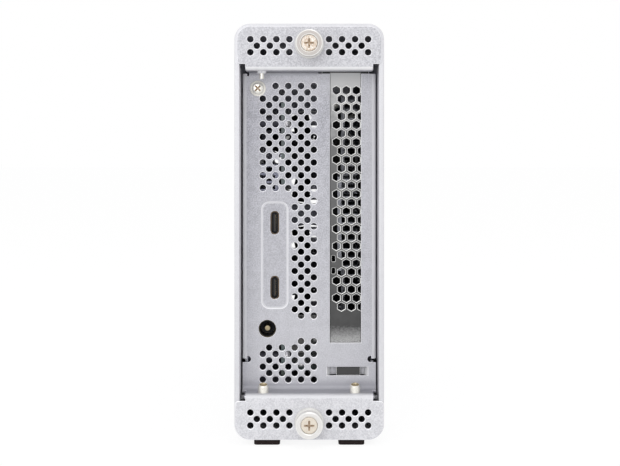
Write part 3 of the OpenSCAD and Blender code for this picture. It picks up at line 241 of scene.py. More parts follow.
def bend_group() -> Tree:
    """Find the bends of a sheet whose flat parts face along Y or Z.

    Folds is 1 where the sheet is folded about X, and Sides is 1 where it turns to a side.
    """
    group = Group("sheet_bends", "Folds", "Sides")
    normal = group.place("NewGeometry").outputs["True Normal"]
    across, back, up = (group.maths("ABSOLUTE", group.along(normal, axis)) for axis in "XYZ")
    folds = group.maths("MULTIPLY", group.ranged(back, 1.0, 0.0, 0.93, 0.99),
                        group.ranged(up, 1.0, 0.0, 0.97, 0.995))
    folds = group.maths("MULTIPLY", folds, group.ranged(across, 1.0, 0.0, 0.1, 0.2))
    return group.give(folds, group.ranged(across, 0.0, 1.0, 0.05, 0.3))


GRAIN, DRAWN, SPANGLE, WEAR, DUST, BENDS = (build() for build in (
    grain_group, drawn_group, spangle_group, wear_group, dust_group, bend_group))


class Paint(Graph):
    """One material's tree, with short calls for what the finishes share."""

    def __init__(self, name: str) -> None:
        """Start a material with a Principled shader."""
        self.material = bpy.data.materials.new(name)
        self.material.use_nodes = True
        super().__init__(self.material.node_tree)
        self.tree.nodes.clear()
        self.output = self.place("OutputMaterial").inputs["Surface"]
        self.shader = self.place("BsdfPrincipled")
        self.tree.links.new(self.shader.outputs[0], self.output)
        self.coords = self.place("TexCoord").outputs["Object"]

    def axis(self, name: str) -> Socket:
        """Give the place along one axis."""
        return self.along(self.coords, name)

    def stamp(self, group: Tree) -> bpy.types.Node:
        """Place a shared group's node."""
        node = self.tree.nodes.new("ShaderNodeGroup")
        node.node_tree = group
        return node

    def effect(self, group: Tree, **values: object) -> Socket:
        """Place a shared group with its own values.

        Args:
            group: The group's tree.
            **values: The group's inputs by their lower-case names.

        Returns:
            The group's output.
        """
        node = self.stamp(group)
        self.tree.links.new(self.coords, node.inputs["Vector"])
        for label, value in values.items():
            node.inputs[label.title()].default_value = value
        return node.outputs[0]

    def blend(self, factor: Socket, low: Colour | Socket, high: Colour | Socket) -> Socket:
        """Mix two colours, the first where the factor is 0 and the second where it is 1."""
        low, high = (linear(colour) if isinstance(colour, tuple) else colour for colour in (low, high))
        return self.place("Mix", {0: factor, 6: low, 7: high}, data_type="RGBA").outputs[2]

    def bump(self, height: Socket, depth: float, strength: float = 0.5) -> None:
        """Raise the surface by a height from 0 to 1, where 1 stands out by the depth in metres."""
        node = self.place("Bump", {"Height": height, "Strength": strength, "Distance": depth})
        self.feed("Normal", node.outputs[0])

    def set(self, **values: object) -> None:
        """Set the shader's own sockets to constants, by their names with underscores for spaces."""
        for label, value in values.items():
            self.shader.inputs[label.replace("_", " ")].default_value = value

    def feed(self, label: str, socket: Socket) -> None:
        """Link a socket to one of the shader's inputs."""
        self.tree.links.new(socket, self.shader.inputs[label])


# Finishes, each a frozen set of values that becomes one material


@dataclass(frozen=True)
class Finish:
    """A surface with a fine mottling, and what most finishes share.

    Attributes:
        name: The material's name.
        dark: The colour of the mottling's low spots.
        light: The colour of its high spots.
        metal: How metallic it is.
        rough: Lowest and highest roughness.
        scale: Grains per metre.
        contrast: Strength of the mottling.
        relief: Depth of the grain in metres.
        dust: How much dust lies on what faces up.
        coat: Weight of a clear coat.
        shine: Strength of the reflection that isn't metallic.
    """

    name: str
    dark: Colour
    light: Colour
    metal: float = 0.0
    rough: Span = (0.4, 0.55)
    scale: float = 1500.0
    contrast: float = 1.0
    relief: float = 0.02 * MM
    dust: float = 0.1
    coat: float = 0.0
    shine: float = 0.5

    def base(self, paint: Paint) -> tuple[Socket, Socket]:
        """Make the colour, and the tone that drives roughness and relief.

        Args:
            paint: The material in hand.

        Returns:
            The colour and the tone.
        """
        tone = paint.effect(GRAIN, scale=self.scale, contrast=self.contrast)
        return paint.blend(tone, self.dark, self.light), tone

    def material(self) -> bpy.types.Material:
        """Build the material."""
        paint = Paint(self.name)
        colour, tone = self.base(paint)
        mask = paint.effect(DUST, amount=self.dust)
        paint.feed("Base Color", paint.blend(mask, colour, DUST_COLOUR))
        paint.feed("Roughness", paint.ranged(tone, *self.rough))
        paint.bump(tone, self.relief)
        paint.set(Metallic=self.metal, Coat_Weight=self.coat, Specular_IOR_Level=self.shine)
        self.extra(paint)
        return paint.material

    def extra(self, paint: Paint) -> None:
        """Add what only one kind of finish has; nothing here."""


@dataclass(frozen=True)
class ZincSheet(Finish):
    """Galvanised sheet steel: a fine grain with specks and crystals, and painted highlights, shade and
    light.

    Attributes:
        spangle: How much the crystals differ in tone.
        spangle_scale: Crystals per metre.
        specks: How much of the sheet dark specks cover.
        speck_scale: Specks per metre.
        speck_depth: How dark the specks are.
        recess_shade_and_speck_dark: The grain's low spots in the recess, darkened there as painted shade,
            and the specks' colour.
        recess_shade_light: Its high spots there, also darkened as painted shade.
        recess: Where the recess starts and where its panel is, along Y.
        pale: The colour of the painted light that the recess's zinc drifts to.
            drift, painted_light_span: How far the painted light reaches at the foot, and the heights
                between which that ends.
        right, right_span: How far at the right side, and where along X that starts.
        top, top_span: How far at the top, and the heights between which that starts.
        highlight_and_spangle: The colour of the painted highlights on the folds and the pressed ridge,
            and of the lighter crystals.
        polish: How metallic the folds are.
        side: The colour of the painted highlight where the sheet turns to its sides.
        painted_shade_colour: The colour of the painted shade on the recess's floor and, faintly, on the
            pressed panel.
        floor_shade_share: How far the floor takes that painted shade.
        floor_top: Heights between which the floor's painted shade ends.
        floor_start: Places along Y between which it starts.
        outline: How strong the painted highlight on the outline pressed around the ports is.
        pressed: That outline's width, height and corner radius.
        inside, pressed_shade_span: How far the sheet inside it takes the painted shade, and where off its
            line that ends.
        ridge: Half the width of the painted highlight along its ridge, and where off its line that has
            faded.
    """

    spangle: float = 0.07
    spangle_scale: float = 420.0
    specks: float = 0.2
    speck_scale: float = 2300.0
    speck_depth: float = 0.45
    recess_shade_and_speck_dark: Colour = (148, 148, 156)
    recess_shade_light: Colour = (206, 206, 214)
    recess: Span = (-103.0 * MM, -96.0 * MM)
    pale: Colour = (214, 214, 219)
    painted_light: float = 0.7
    painted_light_span: Span = (25 * MM, 140 * MM)
    right: float = 0.6
    right_span: Span = (8 * MM, 26 * MM)
    top: float = 0.5
    top_span: Span = (128 * MM, 141 * MM)
    highlight_and_spangle: Colour = (236, 236, 239)
    polish: float = 0.9
    side: Colour = (246, 246, 248)
    painted_shade_colour: Colour = (164, 164, 172)
    floor_shade_share: float = 0.8
    floor_top: Span = (21 * MM, 24 * MM)
    floor_start: Span = (-101.6 * MM, -100.4 * MM)
    outline: float = 0.0
    pressed: Size = (9.9 * MM, 41.3 * MM, 2.75 * MM)
    inside: float = 0.15
    pressed_shade_span: Span = (-0.7 * MM, -0.4 * MM)
    ridge: Span = (0.3 * MM, 0.55 * MM)

    def base(self, paint: Paint) -> tuple[Socket, Socket]:
        """Make the grain's colour with crystals and specks, and with the painted light, shade and
        highlights.
        """
        colour, tone = super().base(paint)
        # Painted light: the recess's zinc turns paler towards the foot, the right side and the top.
        painted_light = paint.ranged(paint.axis("Z"), self.painted_light, 0.0, *self.painted_light_span)
        for axis, share, span in (("X", self.right, self.right_span), ("Z", self.top, self.top_span)):
            painted_light = paint.maths("MAXIMUM", painted_light, paint.ranged(paint.axis(axis), 0.0, share, *span))
        # Painted shade: past the recess's start along Y the grain takes the darker deep colours, lifted
        # by the painted light.
        deep = paint.blend(painted_light, paint.blend(tone, self.recess_shade_and_speck_dark, self.recess_shade_light), self.pale)
        colour = paint.blend(paint.ranged(paint.axis("Y"), 0.0, 1.0, *self.recess), colour, deep)
        crystals = paint.effect(SPANGLE, scale=self.spangle_scale)
        colour = paint.blend(paint.ranged(crystals, 0.0, self.spangle), colour, self.highlight_and_spangle)
        specks = paint.effect(WEAR, scale=self.speck_scale, amount=self.specks)
        colour = paint.blend(paint.ranged(specks, 0.0, self.speck_depth), colour, self.recess_shade_and_speck_dark)
        # Painted shade just inside the pressed outline, and a painted highlight along its ridge.
        if self.outline > 0:
            edge = self.press(paint)
            pressed_shade = paint.ranged(edge, self.inside, 0.0, *self.pressed_shade_span)
            colour = paint.blend(pressed_shade, colour, self.painted_shade_colour)
            ridge = paint.ranged(paint.maths("ABSOLUTE", edge), self.outline, 0.0, *self.ridge)
            colour = paint.blend(ridge, colour, self.highlight_and_spangle)
        # Painted highlights on the folds and where the sheet turns to its sides.
        bends = paint.stamp(BENDS).outputs
        colour = paint.blend(bends["Folds"], colour, self.highlight_and_spangle)
        colour = paint.blend(bends["Sides"], colour, self.side)
        # Painted shade on the recess's floor.
        return paint.blend(self.floor(paint), colour, self.painted_shade_colour), tone

    def press(self, paint: Paint) -> Socket:
        """Give the distance from the outline that is pressed into the panel around the ports."""
        low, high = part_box("usb_c_port_lower")[0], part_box("usb_c_port_upper")[1]
        middle = (low.x + Connectors.shell[0], 0.0, (low.z + high.z) / 2)
        width, height, radius = self.pressed
        away = paint.vectors("SUBTRACT", paint.coords, middle)
        size = paint.vectors("ABSOLUTE", paint.vectors("MULTIPLY", away, (1.0, 0.0, 1.0)))
        past = paint.vectors("SUBTRACT", size, (width / 2 - radius, 0.0, height / 2 - radius))
        length = paint.vectors("LENGTH", paint.vectors("MAXIMUM", past), output="Value")
        return paint.maths("SUBTRACT", length, radius)

    def floor(self, paint: Paint) -> Socket:
        """Mask the recess's floor and the fold behind it, which take the painted shade."""
        low = paint.ranged(paint.axis("Z"), self.floor_shade_share, 0.0, *self.floor_top)
        behind = paint.ranged(paint.axis("Y"), 0.0, 1.0, *self.floor_start)
        return paint.maths("MULTIPLY", low, behind)

    def extra(self, paint: Paint) -> None:
        """Polish the folds, but not the floor's."""
        folds = paint.stamp(BENDS).outputs["Folds"]
        kept = paint.maths("SUBTRACT", folds, self.floor(paint), clamp=True)
        paint.feed("Metallic", paint.ranged(kept, self.metal, self.polish))


@dataclass(frozen=True)
class DrawnMetal(Finish):
    """Extruded, turned or brushed metal, with long fine lines.

    Attributes:
        stretch: Lines per metre across each axis.
        lines: How much the lines differ in tone.
        aniso: How far reflections are drawn out.
    """

    stretch: Size = (1500.0, 6.0, 1500.0)
    lines: float = 0.3
    aniso: float = 0.0

    def base(self, paint: Paint) -> tuple[Socket, Socket]:
        """Make the mottled colour with lines drawn through it."""
        colour, _ = super().base(paint)
        drawn = paint.effect(DRAWN, stretch=self.stretch, scale=1.0)
        return paint.blend(paint.ranged(drawn, 0.0, self.lines), colour, self.light), drawn

    def extra(self, paint: Paint) -> None:
        """Draw the reflections out along the lines."""
        paint.set(Anisotropic=self.aniso)


@dataclass(frozen=True)
class BracketSteel(Finish):
    """Plated steel with a painted reflection that darkens down its length, and painted glints in a strip
    at its foot.

    Attributes:
        top: Height where the painted reflection is brightest.
        middle: Height where its light part ends.
        dark_foot: Height where its dark part is darkest.
        uneven: Grains per metre, contrast and size of the coarse unevenness.
        strip: Heights between which the strip of painted glints ends.
        ragged: Grains per metre, contrast and size of that end's unevenness.
        glint_grains: Grains per metre, contrast and least strength of the strip's painted glints.
        deep: The colour of the painted reflection's dark part.
        bright: The colour of the strip's painted glints.
        seam: The colour of the shadow line where the bracket meets the slot's sides.
        sides: Places of those sides along X.
        seam_width: Width of that line.
        tongue: Heights between which the tongue's plain dark painted shade ends.
        roof: Height of the slot's top.
    """

    top: float = 146 * MM
    middle: float = 126 * MM
    dark_foot: float = 50.5 * MM
    uneven: Size = (330.0, 1.2, 20 * MM)
    strip: Span = (40.5 * MM, 46 * MM)
    ragged: Size = (1300.0, 2.0, 3 * MM)
    glint_grains: Size = (2600.0, 2.5, 0.3)
    deep: Colour = (66, 66, 66)
    bright: Colour = (200, 200, 200)
    seam: Colour = (46, 46, 48)
    sides: Span = (8.05 * MM, 20.3 * MM)
    seam_width: float = 0.35 * MM
    tongue: Span = (34 * MM, 35 * MM)
    roof: float = 143.8 * MM

    def base(self, paint: Paint) -> tuple[Socket, Socket]:
        """Make the colour from the height and a coarse unevenness."""
        _, tone = super().base(paint)
        height, across = paint.axis("Z"), paint.axis("X")

        def rough(scale: float, contrast: float, size: float) -> Socket:
            """Give the height, made uneven by up to a size."""
            uneven = paint.effect(GRAIN, scale=scale, contrast=contrast)
            return paint.maths("ADD", height, paint.maths("MULTIPLY", uneven, size))

        # Painted reflection: light near the top, darkening down the length to the deep colour.
        level = rough(*self.uneven)
        colour = paint.blend(paint.ranged(level, 0.0, 1.0, self.middle, self.top), self.dark, self.light)
        lower = paint.ranged(level, 1.0, 0.0, self.dark_foot, self.middle)
        colour = paint.blend(lower, colour, self.deep)
        # Painted glints in a ragged strip at the foot.
        strip = paint.ranged(rough(*self.ragged), 1.0, 0.0, *self.strip)
        scale, contrast, least = self.glint_grains
        glint_grains = paint.ranged(paint.effect(GRAIN, scale=scale, contrast=contrast), least, 1.0)
        colour = paint.blend(paint.maths("MULTIPLY", strip, glint_grains), colour, self.bright)
        # The tongue takes the painted dark colour too.
        colour = paint.blend(paint.ranged(height, 1.0, 0.0, *self.tongue), colour, self.deep)
        left, right = self.sides
        seams = paint.ranged(across, 1.0, 0.0, left, left + self.seam_width)
        for where, end in ((across, right), (height, self.roof)):
            more = paint.ranged(where, 0.0, 1.0, end - self.seam_width, end)
            seams = paint.maths("MAXIMUM", seams, more)
        return paint.blend(seams, colour, self.seam), tone


@dataclass(frozen=True)
class BoardFinish(Finish):
    """Solder mask over copper tracks and planes.

    Attributes:
        track: Colour of the mask where copper lies under it.
        cover: How far it has that colour there.
        blocks: Blocks of tracks per metre, and how far off a block's middle they start.
        lanes: Scale of the tracks, and how much of it lies between them.
    """

    track: Colour = (26, 56, 44)
    cover: float = 0.7
    blocks: Span = (260.0, 0.42)
    lanes: Span = (330.0, 0.55)

    def base(self, paint: Paint) -> tuple[Socket, Socket]:
        """Make the mask with blocks of tracks under it."""
        colour, tone = super().base(paint)
        blocks = paint.place("TexVoronoi", {"Vector": paint.coords, "Scale": self.blocks[0]},
                             distance="CHEBYCHEV").outputs["Distance"]
        lanes = paint.place("TexWave", {"Vector": paint.coords, "Scale": self.lanes[0],
                                        "Distortion": 3.0, "Detail": 1.0, "Detail Scale": 0.5},
                            wave_profile="SAW").outputs["Fac"]
        both = paint.maths("MULTIPLY", paint.maths("GREATER_THAN", blocks, self.blocks[1]),
                           paint.maths("GREATER_THAN", lanes, self.lanes[1]))
        return paint.blend(paint.ranged(both, 0.0, self.cover), colour, self.track), tone


class Look(Enum):
    """Every finish of the enclosure."""

    SHELL = DrawnMetal(
        "shell_satin", (212, 212, 216), (228, 228, 232), metal=0.3, rough=(0.36, 0.52), scale=2600.0,
        contrast=2.2, lines=0.6, stretch=(900.0, 4.0, 900.0), aniso=0.3)
    FRONT = DrawnMetal(
        "front_brushed", (182, 182, 187), (206, 206, 211), metal=0.6, rough=(0.3, 0.42), scale=2400.0,
        contrast=0.8, lines=0.4, stretch=(5.0, 1800.0, 1800.0), aniso=0.5)
    # The same zinc in two tones: PLATE's darker grain on the top plate is painted shade, ZINC's lighter
    # one on the bottom plate painted light; PLATE's pale fold colour is the painted highlight on the top
    # fold.
    ZINC = ZincSheet(
        "zinc_panel", (210, 210, 215), (236, 236, 240), metal=0.25, rough=(0.42, 0.6), scale=2000.0,
        contrast=4.0, highlight_and_spangle=(222, 222, 226), polish=0.5, outline=0.9)
    PLATE = ZincSheet(
        "zinc_plate", (188, 188, 194), (222, 222, 227), metal=0.25, rough=(0.42, 0.6), scale=2000.0,
        contrast=4.4, highlight_and_spangle=(250, 250, 252), polish=0.3)
    # Painted highlight on the sheets' rounded edges and hole rims.
    RIM = Finish(
        "bright_cut_edge", (240, 240, 244), (252, 252, 255), metal=0.75, rough=(0.3, 0.45), scale=2600.0)
    TRAY = ZincSheet(
        "tray_zinc", (176, 178, 186), (204, 206, 212), metal=0.5, rough=(0.38, 0.55), scale=1600.0,
        contrast=2.4, spangle=0.2, recess_shade_and_speck_dark=(150, 152, 160), recess_shade_light=(204, 206, 212), painted_light=0.0,
        right=0.0, top=0.0, highlight_and_spangle=(196, 198, 205), side=(184, 186, 193), polish=0.5, floor_shade_share=0.0)
    # Its dark and light colours are the ends of the painted reflection.
    BRACKET = BracketSteel(
        "bracket_zinc", (112, 112, 112), (196, 196, 196), metal=0.25, rough=(0.35, 0.55), scale=1700.0)
    # Painted highlight on the bracket's rounded edges and hole rims.
    BRACKET_RIM = Finish(
        "bracket_cut_edge", (226, 226, 224), (248, 248, 246), metal=0.7, rough=(0.3, 0.45))
    SCREW = Finish(
        "nickel_screw", (230, 227, 218), (250, 248, 241), metal=0.6, rough=(0.22, 0.38), scale=2200.0)
    # A darker golden tone in the dome screws' sockets: painted shade.
    RECESS = Finish(
        "screw_recess", (150, 136, 112), (206, 194, 166), metal=0.7, rough=(0.3, 0.5), scale=2600.0)
    # The same knob finish in two tones: the upper knob's darker copy is painted shade, the lower knob's
    # paler copy painted light.
    KNOB_UPPER = DrawnMetal(
        "knob_satin", (186, 180, 175), (208, 202, 198), metal=0.2, rough=(0.3, 0.42), scale=2400.0,
        lines=0.2, stretch=(40.0, 2200.0, 40.0))
    KNOB_LOWER = DrawnMetal(
        "knob_pale", (232, 230, 227), (244, 242, 240), metal=0.15, rough=(0.3, 0.42), scale=2400.0,
        lines=0.2, stretch=(40.0, 2200.0, 40.0))
    # Painted highlight on the knobs' rounded edges.
    KNOB_EDGE = Finish("knob_edge", (242, 241, 238), (252, 251, 249), metal=0.7, rough=(0.25, 0.35))
    # The upper core's rough, worn bronze: its near-white spots are partly wear and partly painted glints.
    CORE_UPPER = Finish(
        "core_rough_bronze", (196, 170, 144), (255, 250, 242), metal=0.3, rough=(0.3, 0.5), scale=1300.0,
        contrast=3.2, relief=0.08 * MM)
    CORE_LOWER = Finish(
        "core_bronze", (222, 210, 193), (242, 234, 221), metal=0.3, rough=(0.3, 0.45), scale=2200.0,
        contrast=1.6)
    # Darker cross recesses: painted shade.
    CROSS = Finish(
        "cross_recess", (164, 136, 108), (226, 208, 184), metal=0.3, rough=(0.35, 0.5), scale=2000.0,
        contrast=2.0)
    COLLAR = DrawnMetal(
        "collar_nickel", (226, 225, 222), (240, 239, 237), metal=0.3, rough=(0.25, 0.38), scale=2400.0,
        lines=0.2, stretch=(40.0, 2200.0, 40.0))
    RUBBER = Finish(
        "rubber_feet", (26, 19, 19), (46, 36, 35), rough=(0.55, 0.75), scale=1800.0, contrast=1.3,
        dust=0.2, shine=0.15)
    FRAME = Finish("grey_moulding", (96, 98, 104), (112, 114, 120), rough=(0.45, 0.6))
    LIGHT = Finish("light_guide", (210, 226, 240), (232, 242, 250), rough=(0.15, 0.22), coat=0.5)
    BLOCK = DrawnMetal(
        "milled_block", (176, 178, 184), (208, 210, 214), metal=0.8, rough=(0.3, 0.45),
        stretch=(1500.0, 60.0, 60.0))
    BOARD = BoardFinish(
        "solder_mask", (10, 28, 22), (14, 36, 29), rough=(0.28, 0.4), scale=900.0, coat=0.3)
    CHIP = Finish("chip_epoxy", (30, 30, 32), (48, 48, 51), rough=(0.5, 0.65), scale=2800.0)
    SOCKET = Finish("socket_moulding", (22, 22, 24), (38, 38, 41))
    LINK = Finish("link_ivory", (206, 202, 188), (226, 222, 210), rough=(0.45, 0.6))
    SINK = DrawnMetal(
        "sink_extrusion", (160, 162, 170), (196, 198, 206), metal=0.85, rough=(0.3, 0.45),
        stretch=(1800.0, 8.0, 1800.0), lines=0.5)
    PAD = Finish("pad_silicone", (112, 128, 146), (136, 152, 170), rough=(0.7, 0.85), contrast=1.4)
    BRASS = DrawnMetal(
        "post_brass", (128, 106, 64), (162, 138, 90), metal=0.9, rough=(0.35, 0.5),
        stretch=(30.0, 1800.0, 1800.0))
    POST = Finish("post_black_nickel", (40, 40, 43), (58, 58, 62), metal=0.6)
    CERAMIC = Finish("chip_ceramic", (120, 96, 70), (156, 128, 98))
    TIN = Finish("solder_tin", (176, 178, 182), (214, 216, 220), metal=0.85, rough=(0.3, 0.45))
    GOLD = Finish("contact_gold", (206, 168, 88), (236, 204, 126), metal=0.95, rough=(0.2, 0.32))
    PORT = DrawnMetal(
        "port_shell", (74, 64, 54), (136, 116, 94), metal=0.85, rough=(0.3, 0.45),
        stretch=(60.0, 1600.0, 60.0), lines=0.5)
    JACK = Finish("jack_moulding", (16, 16, 18), (26, 26, 29), rough=(0.35, 0.5), shine=0.15)
    # Darkened nickel: painted shade on the inlet's pin deep in its bore; the header pins share it.
    PIN = Finish("pin_nickel", (84, 76, 56), (140, 130, 102), metal=0.8, rough=(0.25, 0.4))
    CAN = DrawnMetal(
        "capacitor_can", (150, 154, 162), (186, 190, 198), metal=0.8, rough=(0.3, 0.42),
        stretch=(30.0, 1500.0, 1500.0))
    COIL = Finish(
        "ferrite_case", (66, 66, 70), (88, 88, 92), rough=(0.6, 0.75), scale=2600.0, contrast=1.5)
    FAN = Finish("fan_moulding", (26, 26, 28), (42, 42, 45), scale=2200.0, dust=0.25)

    @property
    def material(self) -> bpy.types.Material:
        """The look's material, built the first time that it is asked for."""
        return bpy.data.materials.get(self.value.name) or self.value.material()


# The edit operators that every new piece is shaped with

WELD = 0.001 * MM
SHARP_ANGLE = 35.0
FLAT_ANGLE = 50.0
FACING = 0.9
CROSS_FOOT = (0.35, 0.6, 1.0)


class Facing(Enum):
    """The turn that makes a piece's own +Z point one way."""

    REAR = (math.pi / 2, 0.0, 0.0)
    UP = (0.0, 0.0, 0.0)


def pick(piece: Object | None = None) -> None:
    """Leave edit mode, deselect everything, and select one object if it is given."""
    active = bpy.context.view_layer.objects.active
    if active and active.mode != "OBJECT":
        bpy.ops.object.mode_set(mode="OBJECT")
    bpy.ops.object.select_all(action="DESELECT")
    if piece:
        piece.select_set(True)
        bpy.context.view_layer.objects.active = piece


def edit(piece: Object, whole: bool = True) -> None:
    """Open a piece in edit mode with all or nothing selected."""
    pick(piece)
    bpy.ops.object.mode_set(mode="EDIT")
    bpy.ops.mesh.select_all(action="SELECT" if whole else "DESELECT")


def close(piece: Object, turn: bool = True) -> None:
    """Merge doubled points and leave edit mode, with the faces turned outwards if asked."""
    edit(piece)
    bpy.ops.mesh.remove_doubles(threshold=WELD)
    if turn:
        bpy.ops.mesh.normals_make_consistent(inside=False)
    bpy.ops.object.mode_set(mode="OBJECT")


def settle(piece: Object) -> None:
    """Move a piece's place, turn and size into its mesh."""
    pick(piece)
    bpy.ops.object.transform_apply(location=True, rotation=True, scale=True)


def round_edges(piece: Object, width: float, hole_width: float, shortest: float,
                longest: float) -> None:
    """Round a piece's sharp edges; the rounded strips take its last material.

    Args:
        piece: The piece.
        width: The rounding's width in metres.
        hole_width: Width of the rounding about holes.
        shortest, longest: Lengths between which an edge belongs to such a hole.
    """
    widest = max(width, hole_width)
    edit(piece, whole=False)
    bpy.ops.mesh.select_mode(type="EDGE")
    bpy.ops.mesh.edges_select_sharp(sharpness=math.radians(SHARP_ANGLE))
    bpy.ops.object.mode_set(mode="OBJECT")
    mesh = piece.data
    weights = []
    for edge in mesh.edges:
        start, end = (mesh.vertices[index].co for index in edge.vertices)
        of_hole = shortest <= (end - start).length <= longest
        weights.append((hole_width if of_hole else width) / widest * edge.select)
    mesh.attributes.new("bevel_weight_edge", "FLOAT", "EDGE").data.foreach_set("value", weights)
    bevel = piece.modifiers.new("rounded_edges", "BEVEL")
    bevel.width = widest
    bevel.segments = 2
    bevel.limit_method = "WEIGHT"
    bevel.use_clamp_overlap = False
    bevel.loop_slide = False
    bevel.material = len(mesh.materials) - 1
    bpy.ops.object.modifier_apply(modifier=bevel.name)
    shade(piece, FLAT_ANGLE)


def shade(piece: Object, angle: float) -> None:
    """Shade a piece smooth across edges under an angle, and keep its large faces flat."""
    pick(piece)
    bpy.ops.object.shade_smooth_by_angle(angle=math.radians(angle))
    weighted = piece.modifiers.new("weighted_normals", "WEIGHTED_NORMAL")
    weighted.keep_sharp = True
    bpy.ops.object.modifier_apply(modifier=weighted.name)


def copy_node(node: str, name: str, *looks: Look) -> Object:
    """Copy a frame node's mesh into a new piece, with its doubled points merged.

    Args:
        node: The node's name.
        name: The new piece's name.
        *looks: Its materials, in the order of its material indices.

    Returns:
        The piece.
    """
    piece = bpy.data.objects.new(name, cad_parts[node].data.copy())
    bpy.context.scene.collection.objects.link(piece)
    piece.data.materials.clear()
    for look in looks:
        piece.data.materials.append(look.material)
    pick(piece)
    bpy.ops.mesh.customdata_custom_splitnormals_clear()
    close(piece, turn=False)
    return piece


def cut(piece: Object, cutter: Object) -> None:
    """Cut one piece out of another, with the cutter's look on the cut, and remove the cutter."""
    pick(piece)
    boolean = piece.modifiers.new("cut", "BOOLEAN")
    boolean.operation = "DIFFERENCE"
    boolean.solver = "EXACT"
    boolean.material_mode = "TRANSFER"
    boolean.object = cutter
    bpy.ops.object.modifier_apply(modifier=boolean.name)
    bpy.data.objects.remove(cutter)


def choose(piece: Object, test: FaceTest) -> None:
    """Open a piece in edit mode with the faces selected that pass a test."""
    edit(piece, whole=False)
    bpy.ops.mesh.select_mode(type="FACE")
    bpy.ops.object.mode_set(mode="OBJECT")
    for face in piece.data.polygons:
        face.select = test(face)
    bpy.ops.object.mode_set(mode="EDIT")


def tint(piece: Object, index: int, test: FaceTest) -> None:
    """Give the faces that pass a test another of the piece's materials."""
    for face in piece.data.polygons:
        if test(face):
            face.material_index = index


def lathe(name: str, rings: list[Span], look: Look, sides: int) -> Object:
    """Turn a closed solid about Z at the origin.

    Args:
        name: The piece's name.
        rings: Radius and height of each ring in metres. Both ends are closed, unless the last ring
            is the first again, which makes a sleeve.
        look: The piece's first material.
        sides: How many sides each ring has.

    Returns:
        The piece.
    """
    pick()
    radius, height = rings[0]
    fill = "NOTHING" if rings[0] == rings[-1] else "NGON"
    bpy.ops.mesh.primitive_circle_add(vertices=sides, radius=radius, fill_type=fill,
                                      location=(0, 0, height))
    piece = bpy.context.object
    piece.name = name
    settle(piece)
    edit(piece)
    for wide, level in rings[1:]:
        bpy.ops.mesh.extrude_region_move(TRANSFORM_OT_translate={"value": (0, 0, level - height)})
        share = wide / radius
        bpy.ops.transform.resize(value=(share, share, 1), center_override=(0, 0, 0))
        radius, height = wide, level
    close(piece)
    piece.data.materials.append(look.material)
    return piece


def cross_cut(piece: Object, cross: Size, top: float, turn: float = 0.0) -> None:
    """Cut a cross recess, narrower as it goes down, into the top of a turned piece.

    Args:
        piece: The piece, with its axis on Z at the origin.
        cross: From the axis to the end of an arm, an arm's width, and the recess's depth.
        top: Height of the face that it is cut into.
        turn: Turn of the cross in degrees.
    """
    reach, width, depth = cross
    for angle in (turn, turn + 90):
        pick()
        above = depth / 50
        bpy.ops.mesh.primitive_cube_add(size=1, location=(0, 0, top + (above - depth) / 2),
                                        scale=(2 * reach, width, above + depth))
        arm = bpy.context.object
        settle(arm)
        # The arm gives the cut faces the darker CROSS look, a painted shade.
        arm.data.materials.append(Look.CROSS.material)
        choose(arm, lambda face: face.normal.z < -FACING)
        bpy.ops.transform.resize(value=CROSS_FOOT, center_override=(0, 0, top))
        pick(arm)
        arm.rotation_euler.z = math.radians(angle)
        settle(arm)
        cut(piece, arm)


def stand(piece: Object, at: Vector, facing: Facing) -> None:
    """Move a piece made at the origin to its place, turned to face another way."""
    piece.location = at
    piece.rotation_euler = facing.value
    settle(piece)


def join(pieces: list[Object]) -> Object:
    """Join pieces into the first of them."""
    pick(pieces[0])
    for piece in pieces[1:]:
        piece.select_set(True)
    bpy.ops.object.join()
    return pieces[0]


def block(name: str, middle: Vector, size: Size, edge: float, *looks: Look) -> Object:
    """Make a block with beveled edges.

    Args:
        name: The piece's name.
        middle: The block's middle.
        size: Its size along each axis.
        edge: Width of the bevel in metres.
        *looks: Its materials.

    Returns:
        The piece.
    """
    pick()
    bpy.ops.mesh.primitive_cube_add(size=1, location=middle, scale=size)
    piece = bpy.context.object
    piece.name = name
    settle(piece)
    edit(piece)
    bpy.ops.mesh.bevel(offset=edge, segments=2, affect="EDGES")
    bpy.ops.object.mode_set(mode="OBJECT")
    for look in looks:
        piece.data.materials.append(look.material)
    return piece


def mount(piece: Object, body: Body, slot: str, *nodes: str) -> None:
    """Give a finished piece its body, and hide the nodes that it stands for.

    Args:
        piece: The piece.
        body: The body that it rides on.
        slot: The record's material slot; not used.
        *nodes: The frame nodes that it replaces.
    """
    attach(piece, body.value)
    if nodes:
        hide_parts(*nodes)
    LOG.info("made %s, %d faces", piece.name, len(piece.data.polygons))


@dataclass(frozen=True)
class Softened:
    """A frame node's copy with its sharp edges rounded.

    Attributes:
        name, node: Its name, and the node that it replaces.
        body, slot: The body that it rides on, and the record's material slot.
        width: Width of its rounded edges.
        looks: Its materials; the last is that of the rounded edges.
        holes: Width of the rounding about holes, and their shortest and longest edge.
        inner: Tells the faces that take the second material, if any do.
    """

    name: str
    node: str
    body: Body
    slot: str
    width: float
    looks: tuple[Look, ...]
    holes: Size = (0.0, 0.0, 0.0)
    inner: FaceTest | None = None

    def build(self) -> None:
        """Make the piece."""
        piece = copy_node(self.node, self.name, *self.looks)
        if self.inner:
            tint(piece, 1, self.inner)
        round_edges(piece, self.width, *self.holes)
        mount(piece, self.body, self.slot, self.node)


VENTS = (0.28 * MM, 0.178 * MM, 0.188 * MM)
HEXES = (0.28 * MM, 1.5 * MM, 1.8 * MM)
